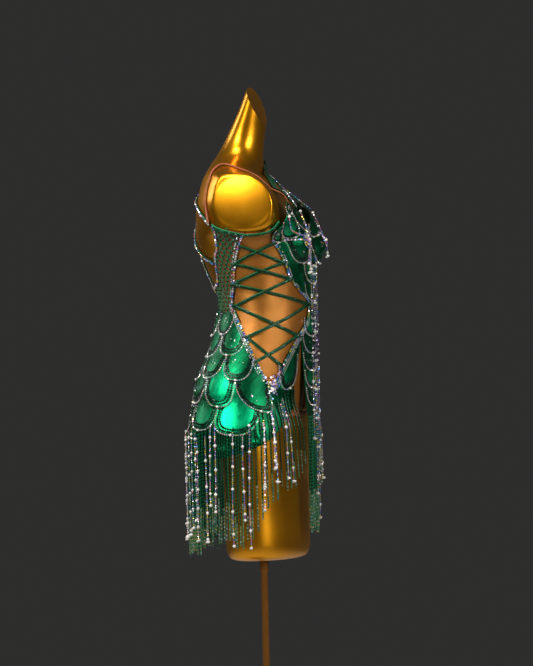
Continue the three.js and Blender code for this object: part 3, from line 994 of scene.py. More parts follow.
def mottle_group() -> bpy.types.NodeTree:
    """Slow uneven variation between two values.

    Returns:
        The group.
    """
    made = new_group(
        "uneven_value",
        {
            "Vector": ("Vector", None),
            "Scale": ("Float", 20.0),
            "Low": ("Float", 0.2),
            "High": ("Float", 0.4),
        },
        {"Value": "Float", "Mask": "Float"},
    )
    entry, leave = made.node("GroupInput"), made.node("GroupOutput")
    noise = made.node("TexNoise", Detail=5.0, Roughness=0.6)
    made.link(entry.outputs["Vector"], noise.inputs["Vector"])
    made.link(entry.outputs["Scale"], noise.inputs["Scale"])
    spread = made.node("MapRange", From_Min=0.3, From_Max=0.7)
    made.link(noise.outputs["Fac"], spread.inputs["Value"])
    made.link(entry.outputs["Low"], spread.inputs["To Min"])
    made.link(entry.outputs["High"], spread.inputs["To Max"])
    made.link(spread.outputs["Result"], leave.inputs["Value"])
    made.link(noise.outputs["Fac"], leave.inputs["Mask"])
    return made.tree


def rib_group() -> bpy.types.NodeTree:
    """Lengthwise ribs of an elastic or a gathered cloth, with uneven strength.

    Returns:
        The group.
    """
    made = new_group(
        "lengthwise_ribs",
        {"Vector": ("Vector", None), "Ribs": ("Float", 3000.0)},
        {"Height": "Float"},
    )
    entry, leave = made.node("GroupInput"), made.node("GroupOutput")
    split = made.node("SeparateXYZ")
    made.link(entry.outputs["Vector"], split.inputs[0])
    wave = made.math("SINE", made.math("MULTIPLY", split.outputs["X"], entry.outputs["Ribs"]))
    made.link(made.math("ABSOLUTE", wave), leave.inputs["Height"])
    return made.tree


@dataclass
class Groups:
    """The shared node groups, built once."""

    weave: bpy.types.NodeTree = field(default_factory=weave_group)
    mottle: bpy.types.NodeTree = field(default_factory=mottle_group)
    ribs: bpy.types.NodeTree = field(default_factory=rib_group)


# ---------------------------------------------------------------- finishes
@dataclass(frozen=True)
class Finish:
    """A material's own values. Subclasses add the nodes that vary over the surface."""

    name: str
    colour: Colour
    roughness: float = 0.4
    metallic: float = 0.0
    coat: float = 0.0
    coat_roughness: float = 0.08
    sheen: float = 0.0
    anisotropic: float = 0.0
    specular: float = 0.5

    def build(self, groups: Groups) -> bpy.types.Material:
        """Makes the material.

        Args:
            groups: the shared node groups.

        Returns:
            The material.
        """
        material = bpy.data.materials.new(self.name)
        material.use_nodes = True
        tree = Tree(material.node_tree)
        shader = material.node_tree.nodes["Principled BSDF"]
        plain = {
            "Base Color": (*self.colour, 1),
            "Roughness": self.roughness,
            "Metallic": self.metallic,
            "Coat Weight": self.coat,
            "Coat Roughness": self.coat_roughness,
            "Sheen Weight": self.sheen,
            "Anisotropic": self.anisotropic,
            "Specular IOR Level": self.specular,
        }
        for label, value in plain.items():
            shader.inputs[label].default_value = value
        self.vary(tree, shader, groups)
        return material

    def vary(self, tree: Tree, shader: bpy.types.Node, groups: Groups) -> None:
        """Adds what varies over the surface. A bare finish adds nothing."""

    def group(self, tree: Tree, group: bpy.types.NodeTree, vector: bpy.types.NodeSocket,
              **values: float) -> bpy.types.Node:
        """Places a shared group with this finish's values.

        Args:
            tree: the material's tree.
            group: the shared group.
            vector: where it is read.
            values: its inputs by name.

        Returns:
            The placed node.
        """
        made = tree.node("Group")
        made.node_tree = group
        tree.link(vector, made.inputs["Vector"])
        for label, value in values.items():
            made.inputs[label].default_value = value
        return made

    def bump(self, tree: Tree, shader: bpy.types.Node, height: bpy.types.NodeSocket,
             strength: float, distance: float) -> None:
        """Feeds a height into the shader's normal.

        Args:
            tree: the material's tree.
            shader: its main shader.
            height: the height to feed in.
            strength: how strong it is.
            distance: its depth in metres.
        """
        made = tree.node("Bump", Strength=strength, Distance=distance)
        tree.link(height, made.inputs["Height"])
        tree.link(made.outputs["Normal"], shader.inputs["Normal"])

    def two_tone(self, tree: Tree, factor: bpy.types.NodeSocket, low: Colour,
                 high: Colour) -> bpy.types.NodeSocket:
        """A colour that runs from low to high with the factor.

        Args:
            tree: the material's tree.
            factor: share from 0 to 1.
            low: colour at 0.
            high: colour at 1.

        Returns:
            The colour socket.
        """
        ramp = tree.node("ValToRGB")
        ramp.color_ramp.elements[0].color = (*low, 1)
        ramp.color_ramp.elements[1].color = (*high, 1)
        tree.link(factor, ramp.inputs["Fac"])
        return ramp.outputs["Color"]


@dataclass(frozen=True)
class Lacquer(Finish):
    """Sprayed metallic lacquer: slow clouds of tone, fine flake and a clear coat."""

    shade: Colour = (0.5, 0.2, 0.02)
    cloud_scale: float = 7.0
    flake_scale: float = 1400.0

    def vary(self, tree: Tree, shader: bpy.types.Node, groups: Groups) -> None:
        """Clouds in colour and roughness, flake in the bump.

        Args:
            tree: the material's tree.
            shader: its main shader.
            groups: the shared node groups.
        """
        where = tree.node("TexCoord").outputs["Object"]
        clouds = self.group(
            tree, groups.mottle, where,
            Scale=self.cloud_scale, Low=self.roughness - 0.05, High=self.roughness + 0.07,
        )
        tree.link(clouds.outputs["Value"], shader.inputs["Roughness"])
        tone = self.two_tone(tree, clouds.outputs["Mask"], self.shade, self.colour)
        tree.link(tone, shader.inputs["Base Color"])
        flake = tree.node("TexNoise", Scale=self.flake_scale, Detail=2.0)
        tree.link(where, flake.inputs["Vector"])
        self.bump(tree, shader, flake.outputs["Fac"], 0.04, 0.0004)


@dataclass(frozen=True)
class SatinCloth(Finish):
    """Satin: its tint attribute mixes painted shade, body colour and painted highlight, over a fine weave."""

    # shade is the painted shade colour, and the colour after it is a painted highlight: the two ends of the
    # tint's ramp
    shade: Colour = (0.0, 0.12, 0.06)
    painted_highlight: Colour = (0.0, 0.82, 0.55)
    threads: float = 5200.0

    def vary(self, tree: Tree, shader: bpy.types.Node, groups: Groups) -> None:
        """Painted highlight and painted shade by the tint's red part, streaks along the warp, weave in the
        bump.

        Args:
            tree: the material's tree.
            shader: its main shader.
            groups: the shared node groups.
        """
        flat = tree.node("UVMap", uv_map="cloth").outputs["UV"]
        tint = tree.node("VertexColor", layer_name="tint").outputs["Color"]
        parts = tree.node("SeparateColor")
        tree.link(tint, parts.inputs[0])
        stretch = tree.node("Mapping")
        stretch.inputs["Scale"].default_value = (1.0, 0.12, 1.0)
        tree.link(flat, stretch.inputs["Vector"])
        streaks = self.group(tree, groups.mottle, stretch.outputs[0], Scale=190.0, Low=-0.13, High=0.13)
        level = tree.math("ADD", parts.outputs["Red"], streaks.outputs["Value"])
        # the tint runs this ramp from painted shade through the body colour to a painted highlight
        ramp = tree.node("ValToRGB")
        ramp.color_ramp.elements[0].color = (*self.shade, 1)
        ramp.color_ramp.elements[1].color = (*self.painted_highlight, 1)
        ramp.color_ramp.elements.new(0.5).color = (*self.colour, 1)
        tree.link(level, ramp.inputs["Fac"])
        tree.link(ramp.outputs["Color"], shader.inputs["Base Color"])
        weave = self.group(tree, groups.weave, flat, Threads=self.threads)
        self.bump(tree, shader, weave.outputs["Height"], 0.25, 0.0002)
        rough = self.group(
            tree, groups.mottle, flat, Scale=60.0, Low=self.roughness - 0.06, High=self.roughness + 0.08
        )
        tree.link(rough.outputs["Value"], shader.inputs["Roughness"])


@dataclass(frozen=True)
class MeshCloth(Finish):
    """Fine stretch mesh: small holes that darken it, and tension streaks."""

    shade: Colour = (0.3, 0.13, 0.04)
    threads: float = 3600.0

    def vary(self, tree: Tree, shader: bpy.types.Node, groups: Groups) -> None:
        """Holes by the weave, and tone by slow streaks.

        Args:
            tree: the material's tree.
            shader: its main shader.
            groups: the shared node groups.
        """
        flat = tree.node("UVMap", uv_map="cloth").outputs["UV"]
        weave = self.group(tree, groups.weave, flat, Threads=self.threads)
        streaks = self.group(tree, groups.mottle, flat, Scale=14.0, Low=0.3, High=1.0)
        hole = tree.math("MULTIPLY", weave.outputs["Gap"], 0.6)
        factor = tree.math("SUBTRACT", streaks.outputs["Value"], hole)
        tree.link(self.two_tone(tree, factor, self.shade, self.colour), shader.inputs["Base Color"])
        self.bump(tree, shader, weave.outputs["Height"], 0.35, 0.0003)


@dataclass(frozen=True)
class RibbedTape(Finish):
    """Ribbed elastic, ribbon or cord."""

    shade: Colour = (0.3, 0.1, 0.03)
    ribs: float = 4000.0

    def vary(self, tree: Tree, shader: bpy.types.Node, groups: Groups) -> None:
        """Ribs in bump, and painted shade in the grooves between them.

        Args:
            tree: the material's tree.
            shader: its main shader.
            groups: the shared node groups.
        """
        flat = tree.node("UVMap", uv_map="cloth").outputs["UV"]
        ribs = self.group(tree, groups.ribs, flat, Ribs=self.ribs)
        # grooves between the ribs get the shade colour: painted shade
        tone = self.two_tone(tree, ribs.outputs["Height"], self.shade, self.colour)
        tree.link(tone, shader.inputs["Base Color"])
        self.bump(tree, shader, ribs.outputs["Height"], 0.4, 0.0003)


@dataclass(frozen=True)
class Glasswork(Finish):
    """Cut stones, beads or pearls: colour from the tint attribute, with a faint inner cloud."""

    cloud_scale: float = 900.0

    def vary(self, tree: Tree, shader: bpy.types.Node, groups: Groups) -> None:
        """Colour by tint, and roughness by clouds.

        Args:
            tree: the material's tree.
            shader: its main shader.
            groups: the shared node groups.
        """
        tint = tree.node("VertexColor", layer_name="tint").outputs["Color"]
        tree.link(tint, shader.inputs["Base Color"])
        where = tree.node("TexCoord").outputs["Object"]
        clouds = self.group(
            tree, groups.mottle, where,
            Scale=self.cloud_scale, Low=self.roughness * 0.6, High=self.roughness * 1.5,
        )
        tree.link(clouds.outputs["Value"], shader.inputs["Roughness"])


FINISHES: tuple[Finish, ...] = (
    Lacquer("gold_lacquer", (0.9, 0.39, 0.01), 0.33, 0.94, coat=0.15, coat_roughness=0.16,
            shade=(0.72, 0.29, 0.007)),
    Lacquer("bronzed_steel", (0.3, 0.12, 0.02), 0.36, 0.9, shade=(0.16, 0.06, 0.01), cloud_scale=30.0),
    # the satins' shade and highlight colours are painted shade and painted highlight
    SatinCloth("emerald_satin", (0.0, 0.17, 0.06), 0.31, 0.9, anisotropic=0.5,
               shade=(0.0, 0.022, 0.008), painted_highlight=(0.0, 0.66, 0.27)),
    SatinCloth("strap_satin", (0.0, 0.11, 0.04), 0.42, 0.6, sheen=0.05, anisotropic=0.4,
               shade=(0.0, 0.018, 0.008), painted_highlight=(0.0, 0.26, 0.12)),
    RibbedTape("net_cord", (0.01, 0.17, 0.045), 0.6, 0.0, sheen=0.1, shade=(0.003, 0.06, 0.018)),
    MeshCloth("nude_mesh", (0.46, 0.185, 0.022), 0.34, 0.62, coat=0.05, coat_roughness=0.3, sheen=0.02,
              shade=(0.42, 0.14, 0.02)),
    # the net's nude backing: nude mesh colour made darker as painted shade under the net
    MeshCloth("net_backing_painted_shade", (0.24, 0.055, 0.014), 0.6, 0.0, sheen=0.05, shade=(0.12, 0.025, 0.007)),
    RibbedTape("nude_elastic", (0.42, 0.11, 0.035), 0.5, 0.0, sheen=0.05, shade=(0.24, 0.055, 0.018)),
    RibbedTape("green_ribbon", (0.0, 0.26, 0.085), 0.5, 0.4, shade=(0.0, 0.12, 0.04)),
    Glasswork("cut_stones", (0.9, 0.9, 0.9), 0.12, 0.4, coat=1.0, coat_roughness=0.03, specular=1.0),
    Glasswork("dark_stones", (0.0, 0.02, 0.01), 0.3, 0.3, coat=0.2, coat_roughness=0.08),
    Glasswork("pearls", (0.9, 0.9, 0.86), 0.2, 0.0, coat=0.7, coat_roughness=0.06, sheen=0.05),
)


# ---------------------------------------------------------------- workshop
@dataclass
class Workshop:
    """What every sub-assembly needs: the figure, the materials and the bench for new pieces."""

    looks: dict[str, bpy.types.Material]
    figure: Figure = FIGURE
    made: list[bpy.types.Object] = field(default_factory=list)

    def fit(
        self, piece: bpy.types.Object, replaces: Sequence[str] = ()
    ) -> bpy.types.Object:
        """Puts a finished piece on the body and reports it.

        Args:
            piece: the piece.
            replaces: frame nodes that it stands for.

        Returns:
            The piece.
        """
        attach(piece, BODY)
        if replaces:
            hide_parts(*replaces)
        self.made.append(piece)
        LOG.info("%s: %d faces", piece.name, len(piece.data.polygons))
        return piece

    def stones(self, seed: int) -> Heap:
        """An empty heap with its own seeded random draws."""
        return Heap(np.random.default_rng(seed))


# ---------------------------------------------------------------- scales sewn on the satin
@dataclass(frozen=True)
class Scale:
    """One lobed scale: its lowest point and its two upper corners, each as angle and height."""

    bottom: tuple[float, float]
    first: tuple[float, float]
    second: tuple[float, float]
    # tone is the scale's painted sheen: how brightly its satin is painted
    tone: float
    dark_rows: tuple[float, ...] = (6.0, 11.4)

    def axes(self, per_degree: float) -> tuple[Array, Array, Array]:
        """Middle of the upper corners, and the way from it to a corner and to the bottom.

        Args:
            per_degree: millimetres of girth for a degree.

        Returns:
            Three flat vectors.
        """
        flat = [np.array([a * per_degree, z]) for a, z in (self.bottom, self.first, self.second)]
        middle = (flat[1] + flat[2]) / 2
        return middle, flat[1] - middle, flat[0] - middle

    def outline(self, inset: float, per_degree: float, count: int = 48) -> tuple[Array, Array]:
        """The scale's rounded edge.

        Args:
            inset: how far inside the edge the line runs.
            per_degree: millimetres of girth for a degree.
            count: points along it.

        Returns:
            Angles and heights.
        """
        middle, half, drop = self.axes(per_degree)
        turn = np.linspace(0, np.pi, count)
        across = np.sign(np.cos(turn)) * np.abs(np.cos(turn)) ** LOBE_ACROSS
        down = np.sin(turn) ** LOBE_DOWN
        across = across * (1 - inset / np.linalg.norm(half))
        down = down * (1 - inset / np.linalg.norm(drop))
        flat = middle + across[:, None] * half + down[:, None] * drop
        return flat[:, 0] / per_degree, flat[:, 1]

    def shares(self, angle: Array, z: Array, per_degree: float) -> tuple[Array, Array]:
        """Where points lie in the scale.

        Args:
            angle: degrees round the figure.
            z: heights.
            per_degree: millimetres of girth for a degree.

        Returns:
            The share of the way down, and a size that is 1 on the rounded edge.
        """
        middle, half, drop = self.axes(per_degree)
        x, y = angle * per_degree - middle[0], z - middle[1]
        area = half[0] * drop[1] - half[1] * drop[0]
        across, down = (x * drop[1] - y * drop[0]) / area, (y * half[0] - x * half[1]) / area
        return down, np.abs(across) ** (2 / LOBE_ACROSS) + np.clip(down, 0, None) ** (2 / LOBE_DOWN)


@dataclass
class ScalePattern:
    """Overlapping scales. Those earlier in the list lie over the later ones."""

    scales: list[Scale]
    per_degree: float
    rise: float = 2.4
    puff: float = 1.5
    ground: float = 0.36

    def relief(self, angle: Array, z: Array) -> tuple[Array, Array]:
        """Height of the scaled cloth, and its tone, which is painted sheen and painted shade.

        Args:
            angle: degrees round the figure.
            z: heights.

        Returns:
            How far the cloth stands up, and its painted sheen and shade as a tone from 0 to 1.
        """
        height, tone = np.zeros(angle.shape), np.full(angle.shape, self.ground)
        for scale in reversed(self.scales):
            down, size = scale.shares(angle, z, self.per_degree)
            inside = (size < 1) & (down > -0.9)
            dome = np.clip(1 - size * 1.6, 0, 1) ** 0.7
            body = self.rise * np.clip(down, 0, 1) ** 1.3 + self.puff * dome
            # painted shade: a darker band a little inside each scale's edge
            painted_shade_band = np.exp(-(((size - 0.7) / 0.15) ** 2))
            # painted sheen: each scale's own brightness, lighter towards its lower edge, darkened by the
            # painted shade band
            painted_sheen = scale.tone + 0.26 * np.clip(down, -0.5, 1) - 0.12 - 0.34 * painted_shade_band
            height, tone = np.where(inside, body, height), np.where(inside, painted_sheen, tone)
        return height, tone

    def trim(self, bench: Workshop, seed: int, surface: Surface, lift: float) -> tuple[Heap, Heap, Heap]:
        """Stone rows along every scale's edge.

        Args:
            bench: the workshop.
            seed: seed of the random draws.
            surface: where the cloth lies.
            lift: the cloth's outer face.

        Returns:
            Heaps of clear stones, of dark stones and of pearls.
        """
        clear, dark, pearls = (bench.stones(seed + k) for k in range(3))
        for number, scale in enumerate(self.scales):
            rows = [(0.8, clear, 4.3, 1.6, Glass.EDGE)]
            rows += [(inset, dark, 4.6, 2.3, Glass.DARK) for inset in scale.dark_rows]
            for inset, heap, pitch, radius, glass in rows:
                angle, z = scale.outline(inset, self.per_degree)
                line = surface(angle, z, lift)
                places, angle, z = evenly(line, pitch, angle, z)
                seen = ~self.covered(angle, z, self.scales[:number])
                if not seen.any():
                    continue
                angle, z = angle[seen], z[seen]
                rise, _ = self.relief(angle, z + 0.6)
                places = surface(angle, z, lift + rise + 0.3)
                normals = bench.figure.normal(angle, np.maximum(z, HIP_Z - 20))
                sizes = radius * heap.rng.uniform(0.85, 1.15, len(places))
                heap.scatter(CUT_STONE, places, normals, sizes, glass)
            angle, z = np.array([scale.bottom[0]]), np.array([scale.bottom[1] + 0.8])
            normals = bench.figure.normal(angle, np.maximum(z, HIP_Z))
            place = surface(angle, z, lift + self.rise + 1.8)
            pearls.scatter(ROUND_PEARL, place, normals, 2.6, Glass.PEARL)
            self.sprinkle(scale, clear, surface, lift, bench)
        return clear, dark, pearls

    def covered(self, angle: Array, z: Array, above: Sequence[Scale]) -> Array:
        """Whether points are under one of the scales that lie above.

        Args:
            angle: degrees round the figure.
            z: heights.
            above: the scales that lie above.

        Returns:
            One answer for each point.
        """
        under = np.zeros(angle.shape, bool)
        for scale in above:
            down, size = scale.shares(angle, z, self.per_degree)
            under |= (size < 0.97) & (down > -0.5)
        return under

    def sprinkle(self, scale: Scale, heap: Heap, surface: Surface, lift: float, bench: Workshop) -> None:
        """A few loose stones in the middle of every other scale.

        Args:
            scale: the scale.
            heap: where the pieces go.
            surface: where the cloth lies.
            lift: distance from the figure.
            bench: the workshop.
        """
        if scale.tone > 0.5:
            return
        middle, half, drop = scale.axes(self.per_degree)
        share = heap.rng.uniform([-0.35, 0.1], [0.35, 0.6], (4, 2))
        flat = middle + share[:, :1] * half + share[:, 1:] * drop
        angle, z = flat[:, 0] / self.per_degree, flat[:, 1]
        keep = ~self.covered(angle, z, self.scales[: self.scales.index(scale)])
        angle, z = angle[keep], z[keep]
        if len(angle) == 0:
            return
        rise, _ = self.relief(angle, z)
        normals = bench.figure.normal(angle, np.maximum(z, HIP_Z))
        heap.scatter(CUT_STONE, surface(angle, z, lift + rise), normals, 1.3,
                     Glass.EDGE)


def mirrored(scales: Sequence[Scale]) -> list[Scale]:
    """The same scales on the wearer's left, as angles above 180.

    Args:
        scales: scales on the wearer's right.

    Returns:
        Both sides together.
    """
    flip = [
        Scale(*((360 - a, z) for a, z in (s.bottom, s.first, s.second)), s.tone, s.dark_rows)
        for s in scales
        if s.bottom[0] < 179
    ]
    return [scale for pair in zip(scales, flip) for scale in pair] + list(scales[len(flip):])


def skirt_scales() -> ScalePattern:
    """The skirt's scales, row by row from the waist: each hangs between the two above it.

    Returns:
        The pattern.
    """
    a = [(121, 1046), (151, 1044), (180, 1044)]
    b = [(104, 1007), (136, 1004), (166, 1004)]
    c = [(86, 960), (119, 965), (151, 962), (180, 962)]
    d = [(60.5, 901), (99, 911), (134, 918), (165, 912)]
    e = [(87, 858), (118, 868), (150, 864), (180, 862)]
    # each scale's number before its dark rows is its painted sheen
    right = [
        Scale(a[0], (109, 1090), (136, 1090), 0.3, (5.0,)),
        Scale(a[1], (136, 1090), (166, 1092), 0.46, (5.0,)),
        Scale(a[2], (166, 1092), (194, 1092), 0.42, (5.0,)),
        Scale(b[0], (88.5, 1040), a[0], 0.4),
        Scale(b[1], a[0], a[1], 0.55),
        Scale(b[2], a[1], a[2], 0.42),
        Scale(c[0], (73, 1003), b[0], 0.42),
        Scale(c[1], b[0], b[1], 0.5),
        Scale(c[2], b[1], b[2], 0.62),
        Scale((29, 943), (45, 985), (23.5, 1006), 0.58, (5.0, 8.5)),
        Scale(d[0], (50, 938), c[0], 0.44),
        Scale(d[1], c[0], c[1], 0.82),
        Scale(d[2], c[1], c[2], 0.5),
        Scale(d[3], c[2], c[3], 0.75),
        Scale(e[0], d[0], d[1], 0.9),
        Scale(e[1], d[1], d[2], 0.6),
        Scale(e[2], d[2], d[3], 0.46),
    ]
    centre = [Scale(c[3], b[2], (194, 1004), 0.5), Scale(e[3], d[3], (195, 912), 0.66)]
    return ScalePattern([*mirrored(right), *centre], HIP_MM_PER_DEGREE)


def strip_scales() -> ScalePattern:
    """Narrow scales down the front panel, one above the other.

    Returns:
        The pattern.
    """
    scales = []
    for number, z in enumerate(range(STRIP_TOP - 5, STRIP_FOOT, -33)):
        wide = float(FRONT_PANEL_EDGE.at("angle", z + 12.0))
        reach = min(wide, 19.0)
        # painted sheen that changes from scale to scale
        tone = (0.5, 0.68, 0.4)[number % 3]
        scales.append(Scale((0, z), (-reach, z + 34), (reach, z + 34), tone, (4.5,)))
    return ScalePattern(scales, STRIP_MM_PER_DEGREE, rise=1.6, puff=1.0)


def cup_scales(sign: int) -> ScalePattern:
    """A cup's scales: small ones at the top, and one deep scale under the point.

    Args:
        sign: 1 on the wearer's right, -1 on the left.

    Returns:
        The pattern.
    """
    # the fourth value of each row is the scale's painted sheen
    rows = [
        ((32, 1263), (41, 1279), (22, 1284), 0.45, (3.5,)),
        ((35, 1226), (49, 1254), (25, 1262), 0.72, (4.0,)),
        ((14, 1226), (26, 1260), (6, 1246), 0.4, (4.0,)),
        ((52, 1219), (57, 1244), (45, 1238), 0.5, (3.5,)),
        ((25, 1180), (45, 1226), (4, 1220), 0.42, (5.5, 9.5)),
    ]
    scales = [
        Scale(*((sign * a, z) for a, z in (bottom, first, second)), tone, dark)
        for bottom, first, second, tone, dark in rows
    ]
    return ScalePattern(scales, CUP_MM_PER_DEGREE, rise=2.2, puff=1.6)


# ---------------------------------------------------------------- dress form and stand
@dataclass
class DressForm:
    """The limbless form: one smooth lacquered shell with a slanted flat neck cut."""

    foot: float = 620.0
    neck_base: float = 1402.0
    cut_y: float = -23.3
    cut_z: float = 1439.0
    cut_rise: float = 2.45
    sectors: int = 256
    rim: float = 1.6

    def build(self, bench: Workshop) -> None:
        """Lofts the shell, closes its two ends with faces of their own, and dresses it.

        Args:
            bench: the workshop.
        """
        figure = bench.figure
        angle = np.arange(self.sectors) * 360 / self.sectors
        low = np.concatenate([self.foot + np.array([0, 1, 3, 6, 10, 15]), np.arange(642, 1226, 8.0)])
        heights = np.concatenate([low, np.arange(1228, self.neck_base + 1, 3.0)])
        rings = [figure.point(angle, np.full(angle.shape, z), self.rim) for z in heights]
        cut = self.cut_heights(figure, angle)
        for share in np.linspace(0, 1, 20)[1:]:
            rings.append(figure.point(angle, self.neck_base + (cut - self.neck_base) * share))
        grid = np.array(rings)
        self.round_arm_plates(grid)
        walls = grid_faces(len(rings), self.sectors, ring=True)
        count = grid.shape[0] * self.sectors
        points = np.concatenate([grid.reshape(-1, 3), grid[0], grid[-1]])
        foot = (count + np.arange(self.sectors))[None]
        head = (count + self.sectors + np.arange(self.sectors))[None]
        shell = write_mesh(
            "form_shell", points, [walls[:, ::-1], foot, head[:, ::-1]], bench.looks["gold_lacquer"]
        )
        bench.fit(shell, ["dress_form"])

    def round_arm_plates(self, grid: Array) -> None:
        """Lets the two flat arm plates swell a little, which the lacquered form does.

        Args:
            grid: the points, which are changed.
        """
        for sign in (-1, 1):
            plate = sign * grid[..., 0] > 171.6
            if not plate.any():
                continue
            spots = grid[plate][:, 1:]
            low, high = spots.min(0), spots.max(0)
            away = (((spots - (low + high) / 2) / ((high - low) / 2)) ** 2).sum(-1)
            grid[plate, 0] += sign * 4.5 * np.clip(1 - away, 0, 1)

    def cut_heights(self, figure: Figure, angle: Array) -> Array:
        """Where each line up the neck meets the slanted plane.

        Args:
            figure: the figure.
            angle: degrees round the figure.

        Returns:
            One height for each angle.
        """
        low, high = np.full(angle.shape, self.neck_base), np.full(angle.shape, 1525.0)
        for _ in range(40):
            z = (low + high) / 2
            below = self.cut_z + self.cut_rise * (figure.point(angle, z)[..., 1] - self.cut_y) > z
            low, high = np.where(below, z, low), np.where(below, high, z)
        return low


@dataclass
class Stand:
    """The pole with its collar, and the round plate."""

    pole_radius: float = 7.0
    plate_radius: float = 170.0
    plate_thickness: float = 9.0
    foot: float = 620.0

    def build(self, bench: Workshop) -> None:
        """Turns both parts and dresses them.

        Args:
            bench: the workshop.
        """
        r, top = self.pole_radius, self.foot - 0.3
        pole = [(r, self.plate_thickness + 0.3), (r, 40), (r, top - 26), (r + 1.4, top - 24),
                (r + 1.4, top - 1), (r + 0.6, top)]
        t, edge = self.plate_thickness, self.plate_radius
        plate = [(edge - 0.6, 0), (edge, 0.6), (edge, t - 3), (edge - 0.9, t - 0.9), (edge - 3, t),
                 (24, t), (23.4, t)]
        for name, profile, sides, node in (
            ("stand_pole_turned", pole, 48, "stand_pole"),
            ("stand_plate_turned", plate, 128, "stand_base"),
        ):
            shape = turned_shape(profile, sides)
            part = write_mesh(name, shape.points, shape.faces, bench.looks["bronzed_steel"])
            bevel = part.modifiers.new("sharp_edges", "EDGE_SPLIT")
            bevel.split_angle = math.radians(35)
            bench.fit(part, [node])


# ---------------------------------------------------------------- cloth panels
@dataclass(frozen=True)
class Crease:
    """A soft fold: its middle, direction, length, breadth and height, negative for a trough."""

    angle: float
    z: float
    slant: float
    length: float
    breadth: float
    height: float

    def relief(self, angle: Array, z: Array, per_degree: float) -> Array:
        """The fold's height over the cloth.

        Args:
            angle: degrees round the figure.
            z: heights.
            per_degree: millimetres of girth for a degree.

        Returns:
            Heights above the cloth.
        """
        x, y = (angle - self.angle) * per_degree, z - self.z
        c, s = math.cos(math.radians(self.slant)), math.sin(math.radians(self.slant))
        along, off = x * c + y * s, -x * s + y * c
        return self.height * np.exp(-((along / self.length) ** 2) - (off / self.breadth) ** 2)


SKIRT_CREASES = (
    Crease(70, 846, 8, 14, 3.2, 2.6),
    Crease(72, 834, -6, 17, 2.6, -2.0),
    Crease(69, 824, 12, 12, 2.8, 2.4),
    Crease(63, 850, 62, 16, 3.0, 2.2),
    Crease(100, 832, 4, 26, 4.0, 1.6),
    Crease(128, 824, -9, 30, 4.4, -1.8),
    Crease(45, 905, 70, 26, 3.6, 1.8),
    Crease(37, 925, 78, 30, 3.0, -1.6),
    Crease(160, 836, 12, 34, 4.2, 2.0),
    Crease(202, 828, -8, 30, 4.0, 1.7),
    Crease(236, 838, 10, 26, 3.8, -1.9),
    Crease(286, 836, -10, 20, 3.0, 2.4),
    Crease(291, 824, 8, 15, 2.6, -1.9),
    Crease(316, 908, -70, 26, 3.6, 1.8),
)
FRONT_CREASES = (
    Crease(9, 1085, 88, 42, 3.2, 1.8),
    Crease(-7, 1096, 92, 50, 3.4, -1.6),
    Crease(24, 1150, 62, 26, 4.0, 2.0),
    Crease(-24, 1146, 118, 30, 4.2, 1.8),
    Crease(2, 1048, 90, 36, 2.6, 1.4),
    Crease(-10, 1010, 84, 30, 2.8, 1.2),
    Crease(11, 962, 94, 36, 2.6, -1.4),
    Crease(-5, 925, 90, 30, 3.0, 1.5),
)
CUP_CREASES = (
    Crease(33, 1248, 35, 16, 3.0, 2.2),
    Crease(27, 1238, 58, 14, 2.4, -1.8),
    Crease(44, 1206, 70, 16, 2.8, 1.6),
    Crease(12, 1200, 105, 16, 3.0, 1.5),
)


def painted_light_tint(tone: Array) -> Array:
    """Painted sheen and painted shade as colours whose red part the satin reads."""
    return np.repeat(np.clip(tone, 0, 1)[..., None], 3, axis=-1)


